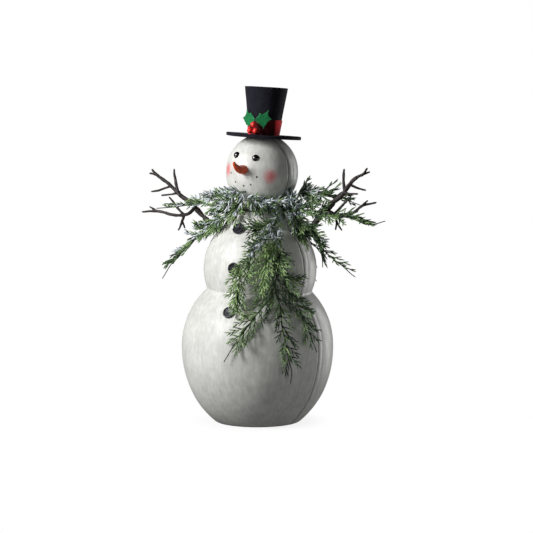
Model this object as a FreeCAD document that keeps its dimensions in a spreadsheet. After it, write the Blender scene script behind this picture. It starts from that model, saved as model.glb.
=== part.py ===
import FreeCAD, Part
import math
import os
import Sketcher

V = FreeCAD.Vector

# Wooden snowman figure: a hollow two-part moulded body of three balls, closed by a
# base board, with a felt top hat, two natural twig arms in wooden sockets and a wired
# cedar garland. Origin: centre of the flat underside. +Z up, the face looks to -Y,
# +X is the figure's own left. The halves meet in the plane y = 0.

doc = FreeCAD.newDocument("snowman_figure")
dims = doc.addObject("Spreadsheet::Sheet", "dims")

SIZES = [
    # three balls and neck
    ("belly_radius", 138.8), ("belly_center_height", 138.0), ("belly_upper_half", 143.0),
    ("belly_lower_half", 166.0), ("belly_offset", 0.0),
    ("chest_radius", 103.0), ("chest_center_height", 281.0), ("chest_offset", 5.3),
    ("head_radius", 65.7), ("head_half_height", 69.7), ("head_center_height", 457.0), ("head_offset", 10.1),
    ("neck_low_radius", 68.0), ("neck_top_radius", 42.0), ("neck_low_height", 362.0), ("neck_rise", 52.0),
    ("neck_offset", 8.3), ("wall", 4.0), ("parting_y", -12.0),
    # base board
    ("board_thick", 6.0), ("board_low_radius", 70.3), ("board_top_radius", 77.4),
    # arm sockets and stubs
    ("stub_radius", 5.25), ("bore_radius", 5.3), ("bore_depth", 32.0), ("stub_depth", 30.0),
    ("socket_radius", 13.0), ("socket_length", 38.0), ("arm_hole_radius", 6.2),
    ("left_arm_angle", 46.05), ("right_arm_angle", 53.13),
    ("left_mouth_x", 89.6), ("left_mouth_z", 337.6), ("right_mouth_x", -77.5), ("right_mouth_z", 339.65),
    # face
    ("eye_radius", 6.2), ("eye_height", 4.6), ("eye_sink", 1.6),
    ("nose_base_radius", 8.2), ("nose_peg_radius", 3.0), ("nose_peg_length", 12.0),
    # buttons
    ("button_radius", 10.75), ("button_thick", 2.6), ("button_rim", 1.9), ("button_rim_rise", 1.3),
    ("button_dish", 0.9), ("button_hole_radius", 1.25), ("button_hole_circle", 2.9),
    # hat
    ("brim_radius", 68.0), ("brim_hole", 22.0), ("brim_thick", 4.4), ("brim_cup", 1.2),
    ("crown_low_radius", 26.6), ("crown_top_radius", 39.3), ("crown_height", 87.7), ("crown_wall", 3.0),
    ("crown_lid_thick", 3.4), ("band_height", 29.0), ("band_thick", 1.5), ("band_gap", 0.1),
    ("hat_offset", 10.9), ("hat_back", 3.3), ("hat_height", 518.6), ("hat_tilt", 3.827),
    # holly
    ("leaf_thick", 1.4), ("leaf_stand", 33.4), ("berry_radius", 5.3), ("stem_radius", 0.9),
    # garland
    ("ring_major", 56.0), ("ring_wire", 2.2), ("ring_height", 399.0), ("tie_wire", 0.8),
    ("spray_stem_radius", 1.5), ("spray_thick", 2.8),
]
for i, (name, value) in enumerate(SIZES, start=1):
    dims.set("A%d" % i, name)
    dims.set("B%d" % i, str(value))
    dims.setAlias("B%d" % i, name)
doc.recompute()


def size(name):
    return float(dims.get(name))


def bind(obj, prop, expr):
    """Binds a size to the sheet; bare aliases are written dims.alias."""
    obj.setExpression(prop, expr)
    return obj


def place(obj, pos, axis=V(0, 0, 1), angle=0.0):
    obj.Placement = FreeCAD.Placement(V(*pos), FreeCAD.Rotation(axis, angle))
    return obj


def prim(kind, name, pos=(0, 0, 0), axis=V(0, 0, 1), angle=0.0, **binds):
    o = doc.addObject("Part::" + kind, name)
    place(o, pos, axis, angle)
    for prop, expr in binds.items():
        if isinstance(expr, str):
            o.setExpression(prop, expr)
        else:
            setattr(o, prop, expr)
    return o


def fuse(name, parts):
    o = doc.addObject("Part::MultiFuse", name)
    o.Shapes = parts
    return o


def cut(name, base, tool):
    o = doc.addObject("Part::Cut", name)
    o.Base, o.Tool = base, tool
    return o


def common(name, parts):
    o = doc.addObject("Part::MultiCommon", name)
    o.Shapes = parts
    return o


def feature(name, shape, pos=(0, 0, 0), rot=None):
    o = doc.addObject("Part::Feature", name)
    o.Shape = shape
    o.Placement = FreeCAD.Placement(V(*pos), rot or FreeCAD.Rotation())
    return o


NODES = []


def node(obj, label):
    obj.Label = label
    NODES.append(obj)
    return obj


def plane_of(body, role):
    return next(f for f in body.Origin.OriginFeatures if f.Role == role)


def sketch_on(body, name, role):
    sk = body.newObject("Sketcher::SketchObject", name)
    sk.AttachmentSupport = (plane_of(body, role), "")
    sk.MapMode = "FlatFace"
    return sk


# ---------------------------------------------------------------- body shells
def balls(tag, skin):
    """The solid outline of belly, chest, neck and head, taken in by skin."""
    low = prim("Ellipsoid", tag + "_belly_low", Radius1="dims.belly_lower_half - " + skin, Radius2="dims.belly_radius - " + skin,
               Radius3="dims.belly_radius - " + skin, Angle1=-90.0, Angle2=0.0, Angle3=360.0)
    high = prim("Ellipsoid", tag + "_belly_high", Radius1="dims.belly_upper_half - " + skin, Radius2="dims.belly_radius - " + skin,
                Radius3="dims.belly_radius - " + skin, Angle1=0.0, Angle2=90.0, Angle3=360.0)
    chest = prim("Sphere", tag + "_chest", Radius="dims.chest_radius - " + skin)
    neck = prim("Cone", tag + "_neck", Radius1="dims.neck_low_radius - " + skin, Radius2="dims.neck_top_radius - " + skin,
                Height="dims.neck_rise")
    head = prim("Ellipsoid", tag + "_head", Radius1="dims.head_half_height - " + skin, Radius2="dims.head_radius - " + skin,
                Radius3="dims.head_radius - " + skin, Angle1=-90.0, Angle2=90.0, Angle3=360.0)
    for o, x, z in ((low, "belly_offset", "belly_center_height"), (high, "belly_offset", "belly_center_height"),
                    (chest, "chest_offset", "chest_center_height"), (neck, "neck_offset", "neck_low_height"),
                    (head, "head_offset", "head_center_height")):
        o.setExpression(".Placement.Base.x", "dims." + x)
        o.setExpression(".Placement.Base.z", "dims." + z)
    return fuse(tag + "_form", [low, high, chest, neck, head])


outer = balls("outer", "0")
inner = balls("inner", "dims.wall")
below = prim("Box", "below_base", pos=(-200, -200, -100), Length=400.0, Width=400.0, Height=100.0)
hollow = cut("hollow_form", outer, inner)
# The head is cut off flat where the hat sits on it; the hat leans a little to the figure's left and back.
HAT = FreeCAD.Placement(V(size("hat_offset"), size("hat_back"), size("hat_height")), FreeCAD.Rotation(V(-0.9155, 0.4024, 0), size("hat_tilt")))
above = prim("Box", "above_head", Length=120.0, Width=120.0, Height=60.0)
above.Placement = HAT.multiply(FreeCAD.Placement(V(-60, -60, 0), FreeCAD.Rotation()))
ends = fuse("ends_cut_away", [below, above])
hollow_flat = cut("hollow_flat", hollow, ends)

# arm axes: each stub lies in the parting plane, leaning outward by its angle from the vertical
LEFT_DIR = V(math.sin(math.radians(size("left_arm_angle"))), 0, math.cos(math.radians(size("left_arm_angle"))))
RIGHT_DIR = V(-math.sin(math.radians(size("right_arm_angle"))), 0, math.cos(math.radians(size("right_arm_angle"))))
LEFT_MOUTH = V(size("left_mouth_x"), 0, size("left_mouth_z"))
RIGHT_MOUTH = V(size("right_mouth_x"), 0, size("right_mouth_z"))


def along(obj, mouth, direction, start):
    """Places an axis-Z solid with its base at mouth + start * direction, pointing along direction."""
    obj.Placement = FreeCAD.Placement(mouth + direction * start, FreeCAD.Rotation(V(0, 0, 1), direction))
    return obj


left_hole = along(prim("Cylinder", "left_arm_hole", Radius="dims.arm_hole_radius", Height=40.0), LEFT_MOUTH, LEFT_DIR, -20)
right_hole = along(prim("Cylinder", "right_arm_hole", Radius="dims.arm_hole_radius", Height=40.0), RIGHT_MOUTH, RIGHT_DIR, -20)
holes = fuse("arm_holes", [left_hole, right_hole])
nose_hole = prim("Cylinder", "nose_peg_hole", Radius="dims.nose_peg_radius + 0.2", Height=40.0)
tools = fuse("shell_tools", [holes, nose_hole])
pierced = cut("pierced_shell", hollow_flat, tools)

# the halves meet a little in front of the widest section, so the arm holes lie wholly in the rear half
front_half = prim("Box", "front_half_space", pos=(-300, -300 + size("parting_y"), -10), Length=600.0, Width=300.0, Height=700.0)
rear_half = prim("Box", "rear_half_space", pos=(-300, size("parting_y"), -10), Length=600.0, Width=300.0, Height=700.0)
front_shell = node(common("front_shell_body", [pierced, front_half]), "front_shell")
rear_shell = node(common("rear_shell_body", [pierced, rear_half]), "rear_shell")

base_board = node(prim("Cone", "base_board_body", Radius1="dims.board_low_radius", Radius2="dims.board_top_radius",
                       Height="dims.board_thick"), "base_board")
base_board.setExpression(".Placement.Base.x", "dims.belly_offset")

# ---------------------------------------------------------------- arm sockets
# A turned block behind the wall, shaped to the wall by cutting it with the cavity, with a blind bore.


def socket(tag, label, mouth, direction):
    block = along(prim("Cylinder", tag + "_block", Radius="dims.socket_radius", Height="dims.socket_length"), mouth, direction, -37)
    trimmed = common(tag + "_block_trimmed", [block, inner])
    bore = along(prim("Cylinder", tag + "_bore", Radius="dims.bore_radius", Height=60.0), mouth, direction, -size("bore_depth"))
    return node(cut(tag + "_socket_body", trimmed, bore), label)


left_socket = socket("left", "left_arm_socket", LEFT_MOUTH, LEFT_DIR)
right_socket = socket("right", "right_arm_socket", RIGHT_MOUTH, RIGHT_DIR)

# ---------------------------------------------------------------- twig arms
# Each branch is a run of (x, y, z, radius) points; the first branch carries on from the
# straight stub, which is turned to fit the bore of the socket.
TWIGS = {
    "right_twig_arm": [
        [(-121.7, 0, 372.8, 5.1), (-138.8, 0, 386.0, 4.7), (-148.9, 0, 396.4, 4.3), (-162.0, 0, 403.6, 4.0), (-177.9, 1, 412.8, 3.8), (-186.9, 1, 420.0, 3.6), (-198.3, 0, 429.7, 3.3), (-211.2, -2, 437.8, 2.9), (-223.8, -3, 445.0, 2.5), (-232.7, -5, 455.3, 1.6)],
        [(-223.8, -3, 445.0, 2.2), (-242.6, 1, 446.3, 1.5)],
        [(-177.8, 1, 414.1, 2.7), (-184.9, 4, 430.7, 2.5), (-187.8, 6, 443.1, 2.1), (-189.8, 7, 456.4, 1.6)],
        [(-192.2, 1, 424.1, 2.4), (-207.8, 5, 420.0, 2.1), (-243.7, 10, 411.7, 1.5)],
        [(-177.2, 1, 411.5, 2.3), (-184.2, -3, 411.1, 2.1), (-210.1, -8, 407.1, 1.5)],
        [(-138.8, 0, 385.3, 3.4), (-151.2, -1, 375.0, 3.3), (-162.5, -2, 371.6, 3.2), (-175.3, -3, 370.4, 2.9), (-200.6, -3, 372.9, 2.5), (-224.9, -2, 376.9, 2.2), (-260.0, 0, 373.7, 1.5)],
        [(-224.9, -2, 376.9, 1.9), (-243.7, 2, 384.4, 1.4)],
        [(-160.7, -2, 372.0, 2.5), (-176.7, 2, 382.7, 2.2), (-187.1, 4, 391.5, 1.9), (-201.0, 5, 403.5, 1.45)],
        [(-161.6, -2, 371.6, 2.4), (-165.7, -5, 357.1, 2.1), (-171.4, -7, 343.5, 1.5)],
        [(-164.4, -4, 360.2, 1.8), (-159.7, -2, 347.0, 1.4)],
    ],
    "left_twig_arm": [
        [(152.1, 0, 399.5, 4.9), (160.1, 0, 407.3, 4.6), (172.8, 0, 416.4, 4.2), (182.7, 0, 425.3, 3.9), (191.9, 1, 438.3, 3.5), (200.3, 0, 447.9, 3.2), (213.3, -2, 455.3, 2.8), (222.6, -3, 459.7, 2.5), (232.9, -4, 471.5, 1.6)],
        [(222.6, -3, 459.7, 2.1), (235.4, 1, 464.7, 1.5)],
        [(183.5, 0, 426.4, 2.6), (179.2, 4, 445.4, 2.4), (179.1, 5, 455.5, 2.1), (179.5, 6, 468.2, 1.5)],
        [(193.8, 1, 440.5, 2.4), (209.3, 5, 434.4, 2.0), (224.1, 8, 430.9, 1.5)],
        [(183.7, 0, 426.7, 2.3), (195.5, -4, 424.9, 2.0), (217.0, -8, 424.8, 1.5)],
        [(145.6, 0, 393.9, 3.4), (161.9, -1, 386.7, 3.3), (178.0, -2, 386.4, 3.1), (194.5, -3, 388.5, 2.8), (209.3, -3, 395.0, 2.5), (220.3, -2, 403.0, 2.3), (229.9, 0, 406.6, 2.0), (247.5, 3, 410.5, 1.4)],
        [(220.3, -2, 403.0, 1.9), (235.2, -6, 414.8, 1.4)],
        [(163.3, -1, 386.8, 2.5), (171.1, 3, 394.9, 2.3), (179.8, 5, 405.3, 2.0), (187.0, 6, 413.1, 1.7), (194.0, 6, 420.2, 1.4)],
        [(162.1, -1, 386.4, 2.4), (170.1, -4, 375.1, 2.1), (168.7, -6, 359.5, 1.5)],
        [(169.7, -4, 375.8, 1.8), (183.8, -8, 358.5, 1.4)],
    ],
}

# garland sprays: (x, y, z, half width) along each stem
SPRAYS = {
    "left_shoulder_frosted_spray": [
        (19.6, -68.8, 425.4, 9),
        (-3.9, -66.6, 422.3, 12),
        (-35.4, -48.0, 413.9, 13),
        (-72.7, -30.0, 410.1, 13),
        (-96.0, -26.0, 400.2, 12),
        (-121.5, -22.0, 398.8, 8),
        (-134.3, -21.0, 394.2, 6),
        (-159.0, -26.0, 389.4, 7),
        (-181.8, -32.0, 386.8, 4),
        (-200.6, -36.0, 385.0, 1.2),
    ],
    "left_hanging_spray": [
        (0.1, -58.4, 403.9, 9),
        (-19.6, -61.4, 387.1, 12),
        (-52.0, -52.0, 370.6, 13),
        (-79.5, -44.0, 355.2, 13),
        (-102.5, -40.0, 341.0, 13),
        (-120.4, -38.0, 323.1, 12),
        (-138.9, -37.0, 310.6, 12),
        (-151.8, -36.0, 296.1, 10),
        (-167.5, -35.0, 283.5, 7),
        (-189.3, -34.0, 254.4, 1.2),
    ],
    "left_middle_spray": [
        (-4.9, -63.9, 409.5, 8),
        (-33.2, -54.0, 400.6, 11),
        (-60.1, -40.0, 394.1, 10),
        (-79.9, -40.0, 388.8, 3),
    ],
    "neck_front_spray": [
        (16.2, -63.2, 415.6, 7),
        (31.6, -54.0, 407.6, 10),
        (46.7, -41.1, 403.8, 11),
        (61.3, -20.6, 404.0, 10),
        (64.8, 4.4, 402.7, 7),
    ],
    "right_shoulder_spray": [
        (67.9, 26.6, 417.8, 8),
        (89.7, 19.0, 420.5, 12),
        (110.4, 16.0, 421.0, 13),
        (131.7, 18.0, 418.5, 13),
        (152.1, 20.0, 415.9, 11),
        (168.4, 24.0, 413.2, 7),
        (181.7, 30.0, 407.4, 4),
        (194.2, 36.0, 402.2, 1.2),
    ],
    "right_outer_spray": [
        (110.0, -34.0, 396.0, 9),
        (126.7, -34.0, 393.1, 11),
        (150.1, -28.0, 392.8, 12),
        (172.8, -26.0, 384.0, 11),
        (206.6, -30.0, 384.8, 11),
        (238.4, -36.0, 378.9, 10),
        (263.6, -40.0, 375.6, 4),
        (292.1, -44.0, 382.7, 1.2),
    ],
    "right_hanging_spray": [
        (107.2, -16.0, 371.4, 8),
        (132.1, -26.0, 354.1, 10),
        (148.6, -32.0, 339.5, 12),
        (159.6, -33.0, 325.9, 13),
        (182.4, -34.0, 309.5, 13),
        (200.3, -35.0, 299.6, 12),
        (216.7, -36.0, 287.8, 9),
        (228.1, -37.0, 281.1, 1.5),
    ],
    "right_knot_spray": [
        (74.1, -3.7, 398.1, 9),
        (83.8, -12.3, 381.0, 14),
        (92.3, -15.7, 363.6, 14),
        (104.1, -13.3, 345.9, 4),
    ],
    "chest_short_spray": [
        (68.7, -45.5, 364.6, 5),
        (63.0, -53.6, 364.7, 9),
        (54.1, -60.1, 366.7, 13),
        (45.3, -70.3, 359.9, 14),
        (35.8, -80.1, 353.0, 4),
    ],
    "chest_frosted_spray": [
        (66.7, -19.0, 395.1, 7),
        (67.2, -43.2, 369.7, 10),
        (70.6, -59.0, 350.2, 11),
        (64.6, -73.2, 341.6, 12),
        (50.0, -90.0, 330.2, 11),
        (42.2, -96.5, 324.1, 4),
    ],
    "front_green_spray": [
        (61.0, -79.7, 334.4, 6),
        (52.9, -93.4, 317.2, 11),
        (44.1, -102.8, 296.1, 14),
        (34.6, -110.9, 274.9, 14),
        (30.9, -110.2, 251.3, 12),
        (32.6, -117.7, 228.9, 9),
        (37.4, -128.3, 205.3, 2),
    ],
    "light_green_hanging_spray": [
        (80.5, -46.1, 351.5, 7),
        (74.6, -81.2, 317.9, 10),
        (75.5, -91.7, 299.2, 11),
        (76.8, -100.0, 281.3, 11),
        (70.8, -96.9, 259.3, 9),
        (65.5, -95.2, 237.5, 2),
    ],
    "long_trailing_spray": [
        (91.1, -54.8, 325.1, 9),
        (89.3, -74.6, 305.1, 13),
        (93.7, -82.4, 284.6, 13),
        (89.4, -79.5, 253.8, 12),
        (96.2, -75.4, 225.2, 11),
        (106.6, -85.0, 191.1, 11),
        (113.8, -86.7, 166.8, 11),
        (117.6, -85.8, 146.1, 10),
        (120.1, -81.8, 125.6, 9),
        (122.3, -77.5, 109.5, 6),
        (119.3, -76.4, 88.6, 1.2),
    ],
    "left_fork_spray": [
        (86.9, -77.2, 248.4, 7),
        (76.1, -88.8, 231.0, 10),
        (66.0, -111.1, 207.2, 12),
        (55.4, -127.3, 183.9, 11),
        (42.8, -137.4, 162.2, 8),
        (22.9, -145.7, 127.5, 1.2),
    ],
    "right_fork_spray": [
        (101.4, -74.3, 270.6, 7),
        (103.0, -50.4, 244.2, 10),
        (113.8, -43.3, 224.2, 11),
        (125.3, -43.0, 200.5, 11),
        (135.6, -40.5, 178.1, 9),
        (140.8, -38.0, 162.4, 6),
        (145.7, -29.9, 140.2, 1.2),
    ],
    "short_right_spray": [
        (94.2, -78.8, 286.1, 6),
        (104.8, -66.7, 275.0, 9),
        (111.9, -46.9, 270.0, 9),
        (116.4, -23.2, 262.6, 2),
    ],
    "left_neck_green_spray": [
        (9.9, -63.5, 413.6, 7),
        (-2.7, -60.7, 398.6, 10),
        (-3.4, -69.5, 381.1, 10),
        (-6.2, -75.0, 365.1, 3),
    ],
    "rear_left_spray": [
        (48.2, 47.5, 392.0, 7),
        (42.8, 55.5, 372.0, 12),
        (51.9, 80.7, 345.0, 13),
        (54.2, 96.0, 315.0, 13),
        (47.2, 103.8, 285.0, 12),
        (37.2, 104.2, 255.0, 10),
        (28.1, 112.7, 232.0, 6),
        (27.4, 128.7, 205.0, 1.2),
    ],
    "rear_right_spray": [
        (-29.9, 48.9, 392.0, 7),
        (-32.9, 61.2, 368.0, 12),
        (-42.9, 83.5, 340.0, 13),
        (-54.2, 91.6, 310.0, 12),
        (-62.1, 89.4, 285.0, 8),
        (-65.6, 84.6, 262.0, 1.2),
    ],
    "rear_center_spray": [
        (12.7, 62.8, 390.0, 7),
        (8.0, 77.0, 365.0, 12),
        (1.9, 98.7, 338.0, 12),
        (-9.8, 107.6, 312.0, 9),
        (-19.8, 108.8, 290.0, 1.2),
    ],
    "left_side_spray": [
        (68.4, 10.6, 394.0, 7),
        (77.7, 22.6, 376.0, 11),
        (87.9, 36.8, 352.0, 13),
        (97.0, 52.9, 326.0, 12),
        (99.0, 63.2, 302.0, 8),
        (97.1, 69.2, 282.0, 1.2),
    ],
    "right_side_spray": [
        (-51.3, 17.1, 392.0, 7),
        (-60.8, 26.7, 370.0, 11),
        (-79.5, 41.4, 345.0, 12),
        (-87.1, 55.5, 318.0, 9),
        (-88.4, 63.2, 296.0, 1.2),
    ],
    "rear_neck_spray": [
        (-6.7, 56.0, 398.0, 6),
        (6.3, 58.0, 400.0, 9),
        (20.3, 56.2, 401.0, 9),
        (35.8, 51.7, 399.0, 4),
    ],
}


SIDES = 9


def faceted(sections):
    """A closed solid through rings of points, with small flat faces."""
    faces = []

    def tri(x, y, z):
        faces.append(Part.Face(Part.makePolygon([x, y, z, x])))

    n = len(sections[0])
    for s, u in zip(sections, sections[1:]):
        for j in range(n):
            k = (j + 1) % n
            tri(s[j], s[k], u[k])
            tri(s[j], u[k], u[j])
    for ring_pts in (sections[0], sections[-1]):
        for j in range(1, n - 1):
            tri(ring_pts[0], ring_pts[j], ring_pts[j + 1])
    solid = Part.Solid(Part.Shell(faces))
    if solid.Volume < 0:
        solid.reverse()
    return solid


def branch_solid(points):
    """A tapering twig through (x, y, z, radius) points, its rings carried along without twist."""
    pts = [V(*p[:3]) for p in points]
    side = None
    sections = []
    for i, p in enumerate(pts):
        t = pts[min(i + 1, len(pts) - 1)] - pts[max(i - 1, 0)]
        t.normalize()
        if side is None:
            side = V(0, 1, 0)
        side = side - t * side.dot(t)
        side.normalize()
        other = t.cross(side)
        r = points[i][3]
        sections.append([p + side * (r * math.cos(2 * math.pi * j / SIDES)) + other * (r * math.sin(2 * math.pi * j / SIDES)) for j in range(SIDES)])
    return faceted(sections)


def twig(label, mouth, direction):
    stub = along(prim("Cylinder", label + "_stub", Radius="dims.stub_radius", Height="dims.stub_depth + 6"), mouth, direction, -size("stub_depth"))
    runs = [list(r) for r in TWIGS[label]]
    start = mouth + direction * 1.0
    runs[0].insert(0, (start.x, start.y, start.z, size("stub_radius") * 0.97))
    body = branch_solid(runs[0])
    body = body.multiFuse([branch_solid(r) for r in runs[1:]])
    crown = feature(label + "_branches", body)
    return node(fuse(label + "_body", [stub, crown]), label)


left_twig = twig("left_twig_arm", LEFT_MOUTH, LEFT_DIR)
right_twig = twig("right_twig_arm", RIGHT_MOUTH, RIGHT_DIR)

# ---------------------------------------------------------------- face
HEAD = V(size("head_offset"), 0, size("head_center_height"))


def head_normal(p):
    a, c = size("head_radius"), size("head_half_height")
    d = p - HEAD
    n = V(d.x / a ** 2, d.y / a ** 2, d.z / c ** 2)
    n.normalize()
    return n


def on_normal(obj, p, n, lift):
    obj.Placement = FreeCAD.Placement(p + n * lift, FreeCAD.Rotation(V(0, 0, 1), n))
    return obj


# glossy domes with their backs shaped to the head
for label, p in (("left_eye", V(31.6, -55.6, 486.0)), ("right_eye", V(-9.5, -54.4, 490.1))):
    dome = prim("Ellipsoid", label + "_dome", Radius1="dims.eye_height + dims.eye_sink", Radius2="dims.eye_radius",
                Radius3="dims.eye_radius", Angle1=0.0, Angle2=90.0, Angle3=360.0)
    on_normal(dome, p, head_normal(p), -size("eye_sink"))
    node(cut(label + "_body", dome, outer), label)

# carrot: tapered, curling upward, seated on the face, with a straight round peg into the shell
base = V(12.1, -65.1, 465.8)
RINGS = [  # y, z, radius factor, tilt of the section in degrees
    (-62.0, 464.6, 1.00, 2.0), (-68.0, 464.8, 0.98, 3.0), (-75.0, 465.4, 0.88, 7.0), (-82.0, 467.2, 0.72, 18.0),
    (-88.5, 470.4, 0.53, 32.0), (-93.0, 474.4, 0.33, 46.0), (-96.0, 478.6, 0.10, 56.0),
]
wires = []
for y, z, k, tilt in RINGS:
    axis = V(0, -math.cos(math.radians(tilt)), math.sin(math.radians(tilt)))
    wires.append(Part.Wire(Part.makeCircle(size("nose_base_radius") * k, V(base.x, y, z), axis)))
carrot = feature("carrot_form", Part.makeLoft(wires, True, False))
seated = cut("carrot_seated", carrot, outer)
peg_start = V(base.x, -66.0, 464.8)
peg = prim("Cylinder", "carrot_peg", Radius="dims.nose_peg_radius", Height="dims.nose_peg_length + 4")
peg.Placement = FreeCAD.Placement(peg_start - V(0, 4, 0), FreeCAD.Rotation(V(0, 0, 1), V(0, 1, 0)))
nose = node(fuse("carrot_body", [seated, peg]), "carrot_nose")
nose_hole.Placement = FreeCAD.Placement(peg_start - V(0, 10, 0), FreeCAD.Rotation(V(0, 0, 1), V(0, 1, 0)))

# ---------------------------------------------------------------- coat buttons
CHEST = V(size("chest_offset"), 0, size("chest_center_height"))
BELLY = V(size("belly_offset"), 0, size("belly_center_height"))


def button(label, p, n):
    """A turned four-hole button: dished face inside a raised rim; flat back glued to the coat."""
    b = doc.addObject("PartDesign::Body", label + "_solid")
    sk = sketch_on(b, label + "_profile", "XZ_Plane")
    R, t, rim, rise, dish = (size("button_radius"), size("button_thick"), size("button_rim"), size("button_rim_rise"), size("button_dish"))
    pts = [V(0, 0, 0), V(R - 0.7, 0, 0), V(R, 0.9, 0), V(R, t + rise - 0.8, 0), V(R - 0.8, t + rise, 0), V(R - rim, t + rise, 0),
           V(R - rim - 1.5, t, 0), V(0, t - dish, 0)]
    for i in range(len(pts)):
        sk.addGeometry(Part.LineSegment(pts[i], pts[(i + 1) % len(pts)]), False)
    for i in range(len(pts)):
        sk.addConstraint(Sketcher.Constraint("Coincident", i, 2, (i + 1) % len(pts), 1))
    edge = sk.addConstraint(Sketcher.Constraint("DistanceX", -1, 1, 2, 1, R))
    sk.renameConstraint(edge, "outside")
    sk.setExpression("Constraints.outside", "dims.button_radius")
    turn = b.newObject("PartDesign::Revolution", label + "_turning")
    turn.Profile = sk
    turn.ReferenceAxis = (sk, ["V_Axis"])
    turn.Angle = 360.0
    doc.recompute()
    hs = sketch_on(b, label + "_hole", "XY_Plane")
    hs.addGeometry(Part.Circle(V(size("button_hole_circle"), 0, 0), V(0, 0, 1), size("button_hole_radius")), False)
    rad = hs.addConstraint(Sketcher.Constraint("Radius", 0, size("button_hole_radius")))
    hs.renameConstraint(rad, "thread_hole")
    hs.setExpression("Constraints.thread_hole", "dims.button_hole_radius")
    pk = b.newObject("PartDesign::Pocket", label + "_thread_hole")
    pk.Profile = hs
    pk.Type = "ThroughAll"
    pk.Midplane = True
    doc.recompute()
    pat = b.newObject("PartDesign::PolarPattern", label + "_four_holes")
    pat.Originals = [pk]
    pat.Axis = (hs, ["N_Axis"])
    pat.Angle = 360.0
    pat.Occurrences = 4
    b.Tip = pat
    doc.recompute()
    b.Placement = FreeCAD.Placement(p + n * 0.05, FreeCAD.Rotation(V(0, 0, 1), n))
    return node(b, label)


def sphere_normal(p, c, scale=(1.0, 1.0, 1.0)):
    d = p - c
    n = V(d.x / scale[0] ** 2, d.y / scale[1] ** 2, d.z / scale[2] ** 2)
    n.normalize()
    return n


top_p, mid_p, low_p = V(6.2, -70.0, 356.5), V(15.9, -102.1, 289.7), V(15.3, -117.7, 212.0)
top_n = V(0.01, -math.cos(math.radians(38)), math.sin(math.radians(38)))
top_n.normalize()
button("top_button", top_p + top_n * 2.6, top_n)
button("middle_button", mid_p, sphere_normal(mid_p, CHEST))
a, c = size("belly_radius"), size("belly_upper_half")
button("bottom_button", low_p, sphere_normal(low_p, BELLY, (a, a, c)))

# ---------------------------------------------------------------- felt top hat


def on_hat(obj, pos=(0, 0, 0), rot=None):
    obj.Placement = HAT.multiply(FreeCAD.Placement(V(*pos), rot or FreeCAD.Rotation()))
    return obj


brim = doc.addObject("PartDesign::Body", "brim_solid")
bs = sketch_on(brim, "brim_profile", "XZ_Plane")
h0, R, t, cup = size("brim_hole"), size("brim_radius"), size("brim_thick"), size("brim_cup")
bp = [V(h0, 0, 0), V(46, 0, 0), V(R - 1.2, cup, 0), V(R, cup + t / 2, 0), V(R - 1.2, cup + t, 0), V(46, t, 0), V(h0, t, 0)]
for i in range(len(bp)):
    bs.addGeometry(Part.LineSegment(bp[i], bp[(i + 1) % len(bp)]), False)
for i in range(len(bp)):
    bs.addConstraint(Sketcher.Constraint("Coincident", i, 2, (i + 1) % len(bp), 1))
k = bs.addConstraint(Sketcher.Constraint("DistanceX", -1, 1, 3, 1, R))
bs.renameConstraint(k, "rim")
bs.setExpression("Constraints.rim", "dims.brim_radius")
k = bs.addConstraint(Sketcher.Constraint("DistanceX", -1, 1, 0, 1, h0))
bs.renameConstraint(k, "opening")
bs.setExpression("Constraints.opening", "dims.brim_hole")
br = brim.newObject("PartDesign::Revolution", "brim_turning")
br.Profile = bs
br.ReferenceAxis = (bs, ["V_Axis"])
br.Angle = 360.0
doc.recompute()
brim.Placement = HAT
node(brim, "hat_brim")

crown_out = on_hat(prim("Cone", "crown_outside", Radius1="dims.crown_low_radius", Radius2="dims.crown_top_radius", Height="dims.crown_height"), (0, 0, t))
crown_in = on_hat(prim("Cone", "crown_inside", Radius1="dims.crown_low_radius - dims.crown_wall", Radius2="dims.crown_top_radius - dims.crown_wall",
                       Height="dims.crown_height"), (0, 0, t))
node(cut("crown_body", crown_out, crown_in), "hat_crown")
lid = on_hat(prim("Cone", "crown_lid_body", Radius2="dims.crown_top_radius - dims.crown_wall - 0.05",
                  Radius1="dims.crown_top_radius - dims.crown_wall - 0.05 - dims.crown_lid_thick * (dims.crown_top_radius - dims.crown_low_radius) / dims.crown_height",
                  Height="dims.crown_lid_thick"), (0, 0, t + size("crown_height") - size("crown_lid_thick") - 0.3))
node(lid, "hat_crown_top")
band_out = on_hat(prim("Cone", "band_outside", Radius1="dims.crown_low_radius + dims.band_gap + dims.band_thick",
                       Radius2="dims.crown_low_radius + dims.band_gap + dims.band_thick + dims.band_height * (dims.crown_top_radius - dims.crown_low_radius) / dims.crown_height",
                       Height="dims.band_height"), (0, 0, t + 0.05))
band_in = on_hat(prim("Cone", "band_inside", Radius1="dims.crown_low_radius + dims.band_gap",
                      Radius2="dims.crown_low_radius + dims.band_gap + dims.band_height * (dims.crown_top_radius - dims.crown_low_radius) / dims.crown_height",
                      Height="dims.band_height"), (0, 0, t + 0.05))
node(cut("band_body", band_out, band_in), "hat_band")

# holly: two spiny felt leaves and three berries on short wire stems, at the front of the band.
# Each leaf is drawn from its stalk; x runs along it and y up.
RIGHT_LEAF = [(0, 1.3), (3.8, 4.8), (9.6, 11.8), (14.8, 10.2), (20.5, 17.6), (22.6, 7.0), (29.0, 1.0), (24.0, -4.8), (19.2, -11.6), (16.8, -11.0),
              (14.3, -14.8), (8.6, -9.8), (3.5, -4.6), (0, -1.3)]
LEFT_LEAF = [(0, 1.3), (3.5, 4.2), (8.5, 12.0), (14.5, 9.3), (24.3, 16.6), (24.3, 6.2), (30.0, 0.5), (22.6, -4.6), (19.8, -9.6), (15.0, -16.2),
             (9.5, -10.4), (3.5, -4.6), (0, -1.3)]


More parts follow.
